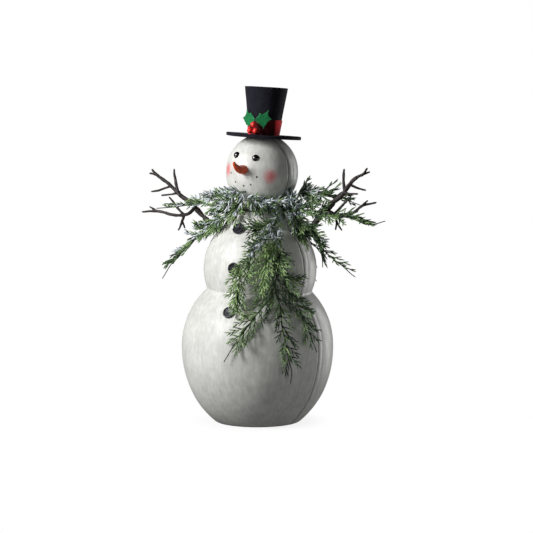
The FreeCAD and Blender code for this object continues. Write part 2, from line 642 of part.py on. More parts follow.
def leaf(label, azimuth, offset, height, lean, outline):
    b = doc.addObject("PartDesign::Body", label + "_solid")
    sk = sketch_on(b, label + "_outline", "XY_Plane")
    for i in range(len(outline)):
        p, q = outline[i], outline[(i + 1) % len(outline)]
        sk.addGeometry(Part.LineSegment(V(p[0], p[1], 0), V(q[0], q[1], 0)), False)
    for i in range(len(outline)):
        sk.addConstraint(Sketcher.Constraint("Coincident", i, 2, (i + 1) % len(outline), 1))
    pad = b.newObject("PartDesign::Pad", label + "_felt")
    pad.Profile = sk
    pad.Length = size("leaf_thick")
    pad.setExpression("Length", "dims.leaf_thick")
    doc.recompute()
    a = math.radians(azimuth)
    n = V(math.sin(a), -math.cos(a), 0)
    e = V(math.cos(a), math.sin(a), 0)
    r = math.radians(lean)
    along_leaf = e * math.cos(r) + V(0, 0, 1) * math.sin(r)
    across = n.cross(along_leaf)
    m = FreeCAD.Matrix(along_leaf.x, across.x, n.x, 0, along_leaf.y, across.y, n.y, 0, along_leaf.z, across.z, n.z, 0, 0, 0, 0, 1)
    on_hat(b, tuple(n * size("leaf_stand") + e * offset + V(0, 0, height)), FreeCAD.Placement(m).Rotation)
    return node(b, label)


leaf("right_holly_leaf", -7.5, 5.8, 32.6, 177.7, [(x, -y) for x, y in reversed(RIGHT_LEAF)])
leaf("left_holly_leaf", 33.0, -17.3, 32.6, 3.2, LEFT_LEAF)
BERRIES = [(3.8, -42.3, 23.8), (-4.1, -41.2, 12.5), (7.9, -40.6, 12.5)]
STALKS = [6.1, 6.6, 6.7]
bshapes = []
for x, y, z in BERRIES:
    s = on_hat(prim("Sphere", "berry_%d" % (len(bshapes) + 1), Radius="dims.berry_radius"), (x, y, z))
    bshapes.append(s)
berries = doc.addObject("Part::Compound", "berries_body")
berries.Links = bshapes
node(berries, "holly_berries")
# thin wires that carry the berries, twisted into the band
wires_b = []
for i, (x, y, z) in enumerate(BERRIES):
    inward = V(-x * 0.1, 1, 0)
    inward.normalize()
    start = V(x, y, z) + inward * (size("berry_radius") + 0.02)
    w = prim("Cylinder", "berry_wire_%d" % (i + 1), Radius="dims.stem_radius", Height=STALKS[i])
    w.Placement = HAT.multiply(FreeCAD.Placement(start, FreeCAD.Rotation(V(0, 0, 1), inward)))
    wires_b.append(w)
stems = doc.addObject("Part::Compound", "berry_wires_body")
stems.Links = wires_b
node(stems, "berry_wires")

# ---------------------------------------------------------------- garland
ring = prim("Torus", "garland_ring_body", pos=(size("neck_offset"), 0, 391.2), Radius1="dims.ring_major", Radius2="dims.ring_wire")
node(ring, "garland_ring_wire")
RING_C = V(size("neck_offset"), 0, 391.2)

ON_RING = [
    "left_shoulder_frosted_spray", "left_hanging_spray", "left_middle_spray", "neck_front_spray", "right_shoulder_spray",
    "right_outer_spray", "right_hanging_spray", "right_knot_spray", "chest_frosted_spray", "left_neck_green_spray",
    "rear_left_spray", "rear_right_spray", "rear_center_spray", "left_side_spray", "right_side_spray", "rear_neck_spray",
]


def spray_solid(points, thick):
    """A flat serrated frond along a path: a closed shell of small flat faces, thickest along its stem."""
    P = []
    for (a, b) in zip(points, points[1:]):
        P.append(a)
        P.append(tuple((a[i] + b[i]) / 2 for i in range(3)) + ((a[3] + b[3]) / 2 * 0.55,))
    P.append(points[-1])
    pts = [V(*p[:3]) for p in P]
    sections = []
    for i, p in enumerate(pts):
        tang = pts[min(i + 1, len(pts) - 1)] - pts[max(i - 1, 0)]
        tang.normalize()
        out = V(p.x - 5.8, p.y, 0.25 * (p.z - 300.0) if p.z > 300 else 0)
        n = out - tang * out.dot(tang)
        n.normalize()
        side = tang.cross(n)
        w = P[i][3]
        th = thick / 2 if w > 2 else thick / 3
        sections.append((p + side * w, p + n * th, p - side * w, p - n * th))
    return faceted(sections)


for label, pts in SPRAYS.items():
    pts = list(pts)
    if label in ON_RING:
        x, y = pts[0][0] - RING_C.x, pts[0][1]
        k = (size("ring_major") + size("ring_wire")) / math.hypot(x, y)
        if math.hypot(pts[0][0] - (RING_C.x + x * k), pts[0][2] - RING_C.z) > 4:
            pts.insert(0, (RING_C.x + x * k, y * k, RING_C.z, 2.2))
    node(feature(label + "_frond", spray_solid(pts, size("spray_thick"))), label)

doc.recompute()

# ---------------------------------------------------------------- checks and files
bad = [o.Name for o in doc.Objects if "Invalid" in o.State or "Error" in o.State]
if bad:
    raise RuntimeError("failed objects: " + ", ".join(bad))
os.makedirs("parts", exist_ok=True)
for f in os.listdir("parts"):
    if f.endswith(".step"):
        os.remove(os.path.join("parts", f))
names = [o.Label for o in NODES]
if len(set(names)) != len(names):
    raise RuntimeError("two nodes share a name")
for o in NODES:
    if o.Shape.isNull() or not o.Shape.isValid():
        raise RuntimeError("bad shape: " + o.Label)
for o in NODES:
    o.Shape.exportStep("parts/%s.step" % o.Label)
    print("%-32s solids %d  volume %10.1f mm3" % (o.Label, len(o.Shape.Solids), o.Shape.Volume))
print(len(NODES), "nodes")
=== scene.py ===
import math
import random

import bpy
import numpy as np
from mathutils import Matrix, Vector, noise


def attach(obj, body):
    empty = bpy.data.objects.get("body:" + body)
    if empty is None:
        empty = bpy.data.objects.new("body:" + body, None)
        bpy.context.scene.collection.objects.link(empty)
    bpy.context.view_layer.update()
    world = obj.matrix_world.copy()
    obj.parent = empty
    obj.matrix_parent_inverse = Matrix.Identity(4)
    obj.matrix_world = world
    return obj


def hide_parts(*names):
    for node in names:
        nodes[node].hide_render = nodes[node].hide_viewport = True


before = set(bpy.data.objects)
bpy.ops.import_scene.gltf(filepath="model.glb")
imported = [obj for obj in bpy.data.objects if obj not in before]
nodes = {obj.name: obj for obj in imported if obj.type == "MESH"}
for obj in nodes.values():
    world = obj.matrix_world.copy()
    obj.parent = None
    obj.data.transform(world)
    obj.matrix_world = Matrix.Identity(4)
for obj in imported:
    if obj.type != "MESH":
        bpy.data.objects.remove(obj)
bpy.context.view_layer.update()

MM = 0.001
scene = bpy.context.scene
rng = random.Random(4661)


# ------------------------------------------------------------------ helpers
def new_object(name, verts, faces, mats, smooth=True, indices=None):
    """A mesh from points in millimetres of the row frame."""
    me = bpy.data.meshes.new(name)
    v = np.asarray(verts, dtype=np.float64) * MM
    me.vertices.add(len(v))
    me.vertices.foreach_set("co", v.astype(np.float32).ravel())
    if isinstance(faces, np.ndarray):
        groups = [faces]
    else:
        groups = [np.asarray(g, dtype=np.int64) for g in faces if len(g)]
    loops = np.concatenate([g.ravel() for g in groups])
    totals = np.concatenate([np.full(len(g), g.shape[1]) for g in groups])
    starts = np.concatenate([[0], np.cumsum(totals)[:-1]])
    me.loops.add(len(loops))
    me.loops.foreach_set("vertex_index", loops.astype(np.int32))
    me.polygons.add(len(totals))
    me.polygons.foreach_set("loop_start", starts.astype(np.int32))
    me.polygons.foreach_set("use_smooth", np.full(len(totals), smooth))
    for m in mats if isinstance(mats, (list, tuple)) else [mats]:
        me.materials.append(m)
    if indices is not None:
        me.polygons.foreach_set("material_index", np.asarray(indices, dtype=np.int32))
    me.update(calc_edges=True)
    me.validate(clean_customdata=False)
    o = bpy.data.objects.new(name, me)
    scene.collection.objects.link(o)
    return o


def finish_piece(o, body, replaced):
    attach(o, body)
    if replaced:
        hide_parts(*replaced)
    return o


def unit(a):
    n = np.linalg.norm(a, axis=-1, keepdims=True)
    return a / np.where(n < 1e-12, 1, n)


def spline(points, step):
    """Catmull-Rom through rows of any number of columns; x, y, z are the first three. Rows about step mm apart."""
    p = np.asarray(points, float)
    if len(p) < 2:
        return p
    q = np.vstack([2 * p[0] - p[1], p, 2 * p[-1] - p[-2]])
    out = []
    for i in range(1, len(q) - 2):
        seg = np.linalg.norm(q[i + 1, :3] - q[i, :3])
        n = max(2, int(math.ceil(seg / step)))
        t = np.linspace(0, 1, n, endpoint=False)[:, None]
        a, b, c, d = q[i - 1], q[i], q[i + 1], q[i + 2]
        out.append(0.5 * ((2 * b) + (c - a) * t + (2 * a - 5 * b + 4 * c - d) * t**2 + (3 * b - a - 3 * c + d) * t**3))
    out.append(p[-1:])
    return np.vstack(out)


def frames(path, up):
    """Tangents and a carried side direction along a path, starting near up."""
    t = unit(np.gradient(path, axis=0))
    s = np.zeros_like(path)
    prev = np.asarray(up, float)
    for i in range(len(path)):
        prev = prev - t[i] * prev.dot(t[i])
        prev = prev / max(1e-9, np.linalg.norm(prev))
        s[i] = prev
    return t, s, np.cross(t, s)


class Acc:
    """Gathers tubes into one mesh."""

    def __init__(self):
        self.v, self.q, self.t, self.n = [], [], [], 0
        self.qm, self.tm = [], []

    def tube(self, path, radii, sides=8, mat=0, up=(0.13, 1.0, 0.21)):
        path = np.asarray(path, float)
        radii = np.asarray(radii, float)
        _, s, o = frames(path, up)
        a = np.arange(sides) * 2 * math.pi / sides
        ring = s[:, None, :] * np.cos(a)[None, :, None] + o[:, None, :] * np.sin(a)[None, :, None]
        rr = radii[:, None, None] if radii.ndim == 1 else radii[:, :, None]
        v = path[:, None, :] + ring * rr
        k = len(path)
        base = self.n
        idx = base + np.arange(k * sides).reshape(k, sides)
        nxt = np.roll(idx, -1, axis=1)
        quads = np.stack([idx[:-1], nxt[:-1], nxt[1:], idx[1:]], -1).reshape(-1, 4)
        self.v.append(v.reshape(-1, 3))
        self.q.append(quads)
        self.qm.append(np.full(len(quads), mat))
        self.n += k * sides
        for end, rev in ((0, True), (k - 1, False)):
            c = self.n
            self.v.append(path[end : end + 1])
            self.n += 1
            r, r2 = idx[end], nxt[end]
            tri = np.stack([np.full(sides, c), r2, r] if rev else [np.full(sides, c), r, r2], -1)
            self.t.append(tri)
            self.tm.append(np.full(sides, mat))

    def needles(self, A, M, B, r0, r1, mat, sides=5):
        """Many short tapering needles at once: start, middle, end points as (N, 3)."""
        if not len(A):
            return
        A, M, B = (np.asarray(x, float) for x in (A, M, B))
        r0, r1, mat = (np.asarray(x) for x in (r0, r1, mat))
        n = len(A)
        ts = np.array([0.0, 0.4, 0.78, 1.0])
        prof = np.array([0.85, 1.0, 0.85, 0.45])
        k = len(ts)
        C = 2 * M - 0.5 * (A + B)
        P = (1 - ts)[None, :, None] ** 2 * A[:, None] + 2 * ((1 - ts) * ts)[None, :, None] * C[:, None] + (ts**2)[None, :, None] * B[:, None]
        T = unit(2 * (1 - ts)[None, :, None] * (C - A)[:, None] + 2 * ts[None, :, None] * (B - C)[:, None])
        ref = np.where(np.abs(T[:, :1, 2:3]) > 0.8, np.array([1.0, 0, 0]), np.array([0, 0, 1.0]))
        S = unit(np.cross(T, np.broadcast_to(ref, T.shape)))
        O = np.cross(T, S)
        R = (r0[:, None] * (1 - ts) + r1[:, None] * ts) * prof
        a = np.arange(sides) * 2 * math.pi / sides
        V = P[:, :, None, :] + (S[:, :, None, :] * np.cos(a)[None, None, :, None] + O[:, :, None, :] * np.sin(a)[None, None, :, None]) * R[:, :, None, None]
        tip = B + T[:, -1] * (r1 * 0.6)[:, None]
        V = np.concatenate([V.reshape(n, k * sides, 3), tip[:, None], A[:, None]], 1)
        m = k * sides + 2
        base = self.n + np.arange(n)[:, None, None] * m
        ids = np.arange(k * sides).reshape(k, sides)
        nx = np.roll(ids, -1, axis=1)
        quads = np.stack([ids[:-1], nx[:-1], nx[1:], ids[1:]], -1).reshape(-1, 4)
        tri = np.concatenate([np.stack([np.full(sides, m - 2), ids[-1], nx[-1]], -1), np.stack([np.full(sides, m - 1), nx[0], ids[0]], -1)])
        self.v.append(V.reshape(-1, 3))
        self.q.append((base + quads[None]).reshape(-1, 4))
        self.t.append((base + tri[None]).reshape(-1, 3))
        self.qm.append(np.repeat(mat, len(quads)))
        self.tm.append(np.repeat(mat, len(tri)))
        self.n += n * m

    def grains(self, P, r, mat):
        """Small eight-sided grains."""
        if not len(P):
            return
        P, r = np.asarray(P, float), np.asarray(r, float)
        g = np.random.default_rng(len(P) + 77)
        d = np.array([[1, 0, 0], [-1, 0, 0], [0, 1, 0], [0, -1, 0], [0, 0, 1], [0, 0, -1]], float)
        q = unit(g.normal(size=(len(P), 3)))
        k2 = unit(np.cross(q, unit(g.normal(size=(len(P), 3)))))
        k3 = np.cross(q, k2)
        R = np.stack([q, k2, k3], 1)
        V = P[:, None, :] + np.einsum("ij,njk->nik", d, R) * (r[:, None, None] * g.uniform(0.7, 1.25, (len(P), 6, 1)))
        f = np.array([[0, 2, 4], [2, 1, 4], [1, 3, 4], [3, 0, 4], [2, 0, 5], [1, 2, 5], [3, 1, 5], [0, 3, 5]])
        base = self.n + np.arange(len(P))[:, None, None] * 6
        self.v.append(V.reshape(-1, 3))
        self.t.append((base + f[None]).reshape(-1, 3))
        self.tm.append(np.full(len(P) * 8, mat))
        self.n += len(P) * 6

    def build(self, name, mats, smooth=True):
        v = np.concatenate(self.v)
        groups, ind = [], []
        if self.q:
            groups.append(np.concatenate(self.q))
            ind.append(np.concatenate(self.qm))
        if self.t:
            groups.append(np.concatenate(self.t))
            ind.append(np.concatenate(self.tm))
        return new_object(name, v, groups, mats, smooth, np.concatenate(ind))


# ------------------------------------------------------------------ materials
def principled(name, color, rough=0.5, **sockets):
    m = bpy.data.materials.new(name)
    m.use_nodes = True
    b = m.node_tree.nodes["Principled BSDF"]
    b.inputs["Base Color"].default_value = (*color, 1)
    b.inputs["Roughness"].default_value = rough
    for k, v in sockets.items():
        b.inputs[k.replace("_", " ")].default_value = v
    return m


class Net:
    """Short names for building a node tree."""

    def __init__(self, mat):
        self.m = mat
        self.t = mat.node_tree
        self.b = self.t.nodes["Principled BSDF"]
        self.coord = self.t.nodes.new("ShaderNodeTexCoord").outputs["Object"]

    def link(self, a, b):
        self.t.links.new(a, b)

    def node(self, kind, **props):
        n = self.t.nodes.new(kind)
        for k, v in props.items():
            setattr(n, k, v)
        return n

    def math(self, op, a, b=None, clamp=False):
        n = self.node("ShaderNodeMath", operation=op, use_clamp=clamp)
        for i, x in enumerate((a, b)):
            if x is None:
                continue
            if isinstance(x, (int, float)):
                n.inputs[i].default_value = x
            else:
                self.link(x, n.inputs[i])
        return n.outputs[0]

    def scaled(self, sx, sy, sz):
        n = self.node("ShaderNodeMapping")
        n.inputs["Scale"].default_value = (sx, sy, sz)
        self.link(self.coord, n.inputs["Vector"])
        return n.outputs[0]

    def noise(self, scale, detail=3.0, rough=0.5, vec=None, distortion=0.0):
        n = self.node("ShaderNodeTexNoise")
        n.inputs["Scale"].default_value = scale
        n.inputs["Detail"].default_value = detail
        n.inputs["Roughness"].default_value = rough
        n.inputs["Distortion"].default_value = distortion
        self.link(vec or self.coord, n.inputs["Vector"])
        return n.outputs["Fac"]

    def remap(self, x, a, b, c=0.0, d=1.0, kind="LINEAR"):
        n = self.node("ShaderNodeMapRange", interpolation_type=kind)
        for s, v in (("From Min", a), ("From Max", b), ("To Min", c), ("To Max", d)):
            n.inputs[s].default_value = v
        self.link(x, n.inputs["Value"])
        return n.outputs[0]

    def near(self, point, r0, r1, wobble=None, amount=0.0):
        """1 inside r0 of a point (mm), falling to 0 at r1."""
        n = self.node("ShaderNodeVectorMath", operation="DISTANCE")
        self.link(self.coord, n.inputs[0])
        n.inputs[1].default_value = tuple(c * MM for c in point)
        d = n.outputs["Value"]
        if wobble is not None:
            d = self.math("ADD", d, self.math("MULTIPLY", self.math("SUBTRACT", wobble, 0.5), amount * MM))
        return self.remap(d, r0 * MM, r1 * MM, 1.0, 0.0, "SMOOTHSTEP")

    def mix(self, fac, a, b):
        n = self.node("ShaderNodeMix", data_type="RGBA")
        for s, x in ((0, fac), (6, a), (7, b)):
            if isinstance(x, (tuple, list)):
                n.inputs[s].default_value = (*x, 1)
            elif isinstance(x, (int, float)):
                n.inputs[s].default_value = x
            else:
                self.link(x, n.inputs[s])
        return n.outputs[2]

    def bump(self, height, strength, dist):
        n = self.node("ShaderNodeBump")
        n.inputs["Strength"].default_value = strength
        n.inputs["Distance"].default_value = dist * MM
        self.link(height, n.inputs["Height"])
        self.link(n.outputs["Normal"], self.b.inputs["Normal"])

    def color(self, x):
        self.link(x, self.b.inputs["Base Color"])

    def rough(self, x):
        self.link(x, self.b.inputs["Roughness"])


# ------------------------------------------------------------------ body form, as in the CAD (mm)
BELLY = (0.0, 138.0, 138.8, 143.0, 166.0)  # x, z, radius, upper half height, lower half height
CHEST = (5.3, 281.0, 103.0, 103.0, 103.0)
HEADB = (10.1, 457.0, 65.7, 69.7, 69.7)


def axis_x(z):
    return np.interp(z, [0, 160, 281, 404, 457, 527], [0.0, 0.6, 5.3, 8.6, 10.1, 10.1])


def ball_reach(ball, ex, z, x0):
    """Distance from (x0, 0) along (ex, ey) to the ball's circle at height z, or a negative number."""
    cx, cz, a, up, low = ball
    c = np.where(z > cz, up, low)
    k = 1 - ((z - cz) / c) ** 2
    rho2 = a * a * np.maximum(k, 0)
    d = cx - x0
    disc = rho2 - d * d * (1 - ex * ex)
    return np.where((k > 0) & (disc > 0), d * ex + np.sqrt(np.maximum(disc, 0)), -5.0)


def skin(ex, z):
    """Outer reach of the body from its axis toward (ex, ey) at height z."""
    x0 = axis_x(z)
    rs = [ball_reach(b, ex, z, x0) for b in (BELLY, CHEST, HEADB)]
    k = (z >= 355) & (z <= 420)
    neck = np.where(k, np.interp(z, [355, 362, 414, 420], [69.0, 67.0, 41.0, 40.0]), -5.0)
    rs.append(neck)
    m = np.maximum.reduce(rs)
    blend = 1.1
    e = sum(np.exp(np.clip((r - m) / blend, -40, 0)) for r in rs)
    return m + blend * np.log(e) * 0.6


def crease_z(x):
    return 242.2 - 0.037 * (x - 2.5)


def surface_point(az, z, off=0.0):
    a = math.radians(az)
    r = float(skin(np.array(math.sin(a)), np.array(float(z)))) + off
    return np.array([float(axis_x(z)) + r * math.sin(a), -r * math.cos(a), z])


LEFT_MOUTH, LEFT_DIR = np.array([89.6, 0, 337.6]), np.array([math.sin(math.radians(46.05)), 0, math.cos(math.radians(46.05))])
RIGHT_MOUTH, RIGHT_DIR = np.array([-77.5, 0, 339.65]), np.array([-0.8, 0, 0.6])


PART_Y = -12.0
HAT = Matrix.Translation(Vector((10.9, 3.3, 518.6))) @ Matrix.Rotation(math.radians(3.827), 4, Vector((-0.9155, 0.4024, 0)))
HATM = np.array(HAT)


def hat(pts):
    pts = np.asarray(pts, float)
    return pts @ HATM[:3, :3].T + HATM[:3, 3]


def hat_plane(x, y, off=0.0):
    """Height of the cut-off top of the head over (x, y)."""
    n, o = HATM[:3, 2], HATM[:3, 3]
    return o[2] + off - (n[0] * (x - o[0]) + n[1] * (y - o[1])) / n[2]


def shell_grid(front):
    # heights along the profile, close together at the crease
    top = 516.0
    zz = np.linspace(0, top, 6000)
    r = skin(np.zeros_like(zz), zz)
    s = np.concatenate([[0], np.cumsum(np.hypot(np.diff(zz), np.diff(r)))])
    step = np.interp(zz, [0, 3, 12, 230, 238, 246, 254, 380, 400, 527], [0.7, 0.9, 2.3, 2.2, 0.75, 0.75, 2.2, 2.6, 2.6, 2.1])
    levels, acc = [0.0], 0.0
    for i in range(1, len(zz)):
        acc += (s[i] - s[i - 1]) / step[i]
        if acc >= 1:
            levels.append(zz[i])
            acc -= 1
    z = np.array(levels + [top])
    edge = [0, 0.14, 0.3, 0.48, 0.7, 0.95, 1.25, 1.6, 2.0, 2.5, 3.0, 3.6, 4.2, 4.9, 5.7, 6.6, 7.7]
    mid = np.linspace(9.0, 171.0, 98)
    u = np.array(edge + list(mid) + [180 - e for e in reversed(edge)]) / 90.0 - 1.0
    Z, U = np.meshgrid(z, u, indexing="ij")
    # each half ends where the skin meets the parting plane
    lim = np.arccos(np.clip(-PART_Y / skin(np.ones_like(z), z), -1, 1))
    lim = np.arccos(np.clip(-PART_Y / skin(np.sin(lim), z), -1, 1))
    if front:
        TH = U * lim[:, None]
    else:
        TH = math.pi + U * (math.pi - lim[:, None])
    EX, EY = np.sin(TH), -np.cos(TH)
    X0 = axis_x(Z)
    R = skin(EX, Z)
    x = X0 + R * EX
    tilt = np.exp(-(((Z - 242.2) / 30.0) ** 2))
    Zt = Z - 0.037 * (x - 2.5) * tilt * np.clip((Z - 5) / 30, 0, 1)
    # the top rings follow the slope of the hat's seat
    k = np.clip((Z - 470.0) / (top - 470.0), 0, 1)
    for _ in range(3):
        Zt = np.where(k > 0, Z + k * k * (3 - 2 * k) * (hat_plane(X0 + R * EX, R * EY) - top), Zt)
        X0 = axis_x(Zt)
        R = skin(EX, Zt)
    y = R * EY
    # parting line: a groove between the halves with a soft lip, and the trim line of the rear half behind it
    ay = np.abs(y - PART_Y)
    lip = 0.26 * np.exp(-(((ay - 4.0) / 2.8) ** 2)) - 1.15 * np.exp(-((ay / 1.3) ** 2))
    if front:
        lip = lip * np.where(np.abs(TH) > 0.7, 1.0, 0.0)
    else:
        lip = (lip - 0.38 * np.exp(-(((ay - 13.0) / 2.2) ** 2)) + 0.22 * np.exp(-(((ay - 7.0) / 3.4) ** 2)))
        lip = np.where(np.abs(np.abs(np.angle(np.exp(1j * TH))) - 1.6) < 0.6, lip, 0.0)
    wave = np.interp(Z, [0, 12, 40, 500, 516], [0.3, 0.8, 1, 1, 0.3])
    R = R + lip * wave
    # bead of paint in the crease
    dz = Zt - crease_z(X0 + R * EX)
    R = R + 1.0 * np.exp(-((dz / 1.0) ** 2))
    # hand-moulded unevenness
    pts = np.stack([X0 + R * EX, R * EY, Zt], -1)
    flat = pts.reshape(-1, 3)
    nn = np.array([noise.noise(Vector((p[0] * 0.016, p[1] * 0.016, p[2] * 0.012))) for p in flat]).reshape(Z.shape)
    n2 = np.array([noise.noise(Vector((p[0] * 0.05, p[1] * 0.05, p[2] * 0.03 + 9))) for p in flat]).reshape(Z.shape)
    R = R + (nn * 0.75 + n2 * 0.25) * np.clip(Zt / 25, 0, 1)
    # small round-over at the foot
    foot = np.clip(1 - Zt / 2.2, 0, 1)
    R = R - 1.3 * foot**2
    pts = np.stack([X0 + R * EX, R * EY, Zt], -1)
    # dished rim round each arm hole
    for mouth, d in ((LEFT_MOUTH, LEFT_DIR), (RIGHT_MOUTH, RIGHT_DIR)):
        rel = pts - mouth
        alongd = rel @ d
        rad = np.linalg.norm(rel - alongd[..., None] * d, axis=-1)
        deep = np.where((np.abs(alongd) < 30), np.clip((8.2 - rad) / 2.6, 0, 1), 0)
        pts = pts - (deep * deep * (3 - 2 * deep) * 5.0)[..., None] * d
    return pts


def make_shell(name, front, mat):
    P = shell_grid(front)
    n, m = P.shape[:2]
    du = np.gradient(P, axis=0)
    dv = np.gradient(P, axis=1)
    N = unit(np.cross(dv, du))
    cen = np.stack([axis_x(P[..., 2]), np.zeros((n, m)), P[..., 2]], -1)
    sgn = np.sign(np.sum(N * (P - cen), -1).mean())
    N = N * sgn
    N[0] = N[1]
    Q = P - N * 3.6
    Q[..., 2] = np.maximum(Q[..., 2], 0)
    Q[0] = P[0] + (cen[0] - P[0]) * (1 - 70.6 / np.linalg.norm(P[0] - cen[0], axis=-1))[:, None]
    Q[0, :, 2] = 0
    # inner skin under the flat seat of the hat
    Q[-1] = P[-1] + (np.array([10.1, 0, 0]) - P[-1] * [1, 1, 0]) * [0.27, 0.27, 0]
    for A in (P, Q):
        A[-1, :, 2] = hat_plane(A[-1, :, 0], A[-1, :, 1], -0.03)
    # keep the cut edges exactly in the parting plane
    side = PART_Y + 0.04 * (-1 if front else 1)
    for A in (P, Q):
        A[:, 0, 1] = side
        A[:, -1, 1] = side
    V = np.concatenate([P.reshape(-1, 3), Q.reshape(-1, 3)])
    o = np.arange(n * m).reshape(n, m)
    i = o + n * m
    quads = [np.stack([o[:-1, :-1], o[:-1, 1:], o[1:, 1:], o[1:, :-1]], -1).reshape(-1, 4),
             np.stack([i[:-1, :-1], i[1:, :-1], i[1:, 1:], i[:-1, 1:]], -1).reshape(-1, 4),
             np.stack([o[:-1, 0], o[1:, 0], i[1:, 0], i[:-1, 0]], -1),
             np.stack([o[:-1, -1], i[:-1, -1], i[1:, -1], o[1:, -1]], -1),
             np.stack([o[0, :-1], i[0, :-1], i[0, 1:], o[0, 1:]], -1),
             np.stack([o[-1, :-1], o[-1, 1:], i[-1, 1:], i[-1, :-1]], -1)]
    ob = new_object(name, V, np.concatenate(quads), mat)
    ob.data.set_sharp_from_angle(angle=math.radians(48))
    return ob


# ------------------------------------------------------------------ material library
def snow_material():
    m = principled("painted_pulp", (0.8, 0.79, 0.76), 0.5)
    n = Net(m)
    streak = n.noise(1.0, 4.0, 0.6, n.scaled(170, 170, 26))
    mott = n.noise(62.0, 5.0, 0.62)
    cloud = n.noise(13.0, 3.0, 0.5)
    speck = n.noise(520.0, 2.0, 0.5)
    f = n.math("ADD", n.math("MULTIPLY", streak, 0.40), n.math("MULTIPLY", mott, 0.36))
    f = n.math("ADD", f, n.math("MULTIPLY", cloud, 0.24))
    base = n.mix(n.remap(f, 0.39, 0.61), (0.60, 0.602, 0.568), (0.825, 0.825, 0.788))
    base = n.mix(n.math("MULTIPLY", n.remap(speck, 0.66, 0.76), 0.35), base, (0.90, 0.895, 0.87))
    base = n.mix(n.math("MULTIPLY", n.remap(n.noise(190.0, 3.0, 0.6), 0.62, 0.72), 0.25), base, (0.42, 0.41, 0.385))
    # painted shade: a dark line along the groove of the parting line
    sep = n.node("ShaderNodeSeparateXYZ")
    n.link(n.coord, sep.inputs[0])
    line = n.remap(n.math("ABSOLUTE", n.math("ADD", sep.outputs["Y"], 0.012)), 0.0007, 0.0023, 1.0, 0.0, "SMOOTHSTEP")
    base = n.mix(n.math("MULTIPLY", line, 0.62), base, (0.17, 0.165, 0.155))
    # painted shade: darker along the foot, where the body meets the floor
    foot = n.remap(sep.outputs["Z"], 0.0004, 0.0032, 1.0, 0.0, "SMOOTHSTEP")
    base = n.mix(n.math("MULTIPLY", foot, 0.6), base, (0.16, 0.155, 0.145))
    # brushed-on blush: soft and speckled
    grain = n.noise(430.0, 4.0, 0.7)
    for c, r0, r1, k in (((57.4, -45.0, 452.6), 1.5, 18.5, 0.92), ((-29.6, -52.0, 463.0), 1.5, 18.5, 0.92)):
        w = n.near(c, r0, r1, n.noise(70.0, 3.0, 0.6), 6.0)
        w = n.math("MULTIPLY", w, n.remap(grain, 0.25, 0.62, 0.45, 1.0))
        base = n.mix(n.math("MULTIPLY", w, k), base, (0.80, 0.085, 0.105))
    # mouth dots
    wob = n.noise(600.0, 2.0, 0.5)
    for c, r in MOUTH:
        base = n.mix(n.near(c, r - 0.35, r + 0.35, wob, 0.9), base, (0.015, 0.014, 0.014))
    # painted shade inside the arm holes: a dark brown patch round each twig's mouth
    for p in (LEFT_MOUTH - LEFT_DIR * 4.0, RIGHT_MOUTH - RIGHT_DIR * 4.0):
        base = n.mix(n.math("MULTIPLY", n.near(tuple(p), 6.0, 9.5), 0.8), base, (0.10, 0.08, 0.06))
    n.color(base)
    n.rough(n.remap(f, 0.35, 0.65, 0.50, 0.36))
    h = n.math("ADD", n.math("MULTIPLY", streak, 0.6), n.math("MULTIPLY", mott, 0.9))
    n.bump(n.math("ADD", h, n.math("MULTIPLY", speck, 0.25)), 0.32, 1.0)
    return m


def felt_material(name, dark, light, scale=900.0, sheen=0.3):
    m = principled(name, dark, 0.95, Sheen_Weight=sheen, Sheen_Roughness=0.45, Specular_IOR_Level=0.25)
    n = Net(m)
    a = n.noise(scale, 4.0, 0.65)
    b = n.noise(130.0, 4.0, 0.6)
    f = n.math("ADD", n.math("MULTIPLY", a, 0.55), n.math("MULTIPLY", b, 0.45))
    n.color(n.mix(n.remap(f, 0.38, 0.62), dark, light))
    n.bump(f, 0.55, 0.7)
    return m


def bark_material():
    m = principled("twig_bark", (0.05, 0.035, 0.026), 0.62)
    n = Net(m)
    a = n.noise(210.0, 5.0, 0.65)
    b = n.noise(900.0, 3.0, 0.6)
    col = n.mix(n.remap(a, 0.36, 0.66), (0.010, 0.007, 0.007), (0.050, 0.034, 0.031))
    col = n.mix(n.math("MULTIPLY", n.remap(n.noise(75.0, 4.0, 0.6), 0.58, 0.72), 0.4), col, (0.15, 0.12, 0.11))
    n.color(col)
    n.bump(n.math("ADD", a, n.math("MULTIPLY", b, 0.4)), 0.6, 0.8)
    return m


def carrot_material():
    m = principled("carrot_orange", (0.72, 0.08, 0.025), 0.42, Coat_Weight=0.15, Coat_Roughness=0.35)
    n = Net(m)
    a = n.noise(160.0, 3.0, 0.6)
    col = n.mix(n.remap(a, 0.35, 0.65), (0.84, 0.060, 0.012), (0.97, 0.150, 0.022))
    sep = n.node("ShaderNodeSeparateXYZ")
    n.link(n.coord, sep.inputs[0])
    col = n.mix(n.remap(sep.outputs["Y"], -0.0905, -0.0965, 0.0, 0.35), col, (0.40, 0.05, 0.02))
    n.color(col)
    n.bump(n.noise(1.0, 3.0, 0.6, n.scaled(120, 700, 120)), 0.25, 0.5)
    return m


def simple_noise_material(name, dark, light, scale, rough, bump=0.2, **sockets):
    m = principled(name, dark, rough, **sockets)
    n = Net(m)
    a = n.noise(scale, 4.0, 0.6)
    n.color(n.mix(n.remap(a, 0.36, 0.64), dark, light))
    if bump:
        n.bump(a, bump, 0.5)
    return m


MOUTH = [((-18.3, -59.2, 457.8), 1.5), ((-7.1, -61.7, 441.7), 1.7), ((10.8, -62.5, 435.5), 1.7), ((25.1, -61.4, 438.1), 1.6), ((37.0, -59.7, 451.8), 1.9)]

SNOW = snow_material()
BLACK_FELT = felt_material("black_felt", (0.0045, 0.0045, 0.0084), (0.0135, 0.0135, 0.0239), 900.0, 0.10)
RED_FELT = felt_material("red_felt", (0.84, 0.012, 0.022), (0.98, 0.035, 0.050))


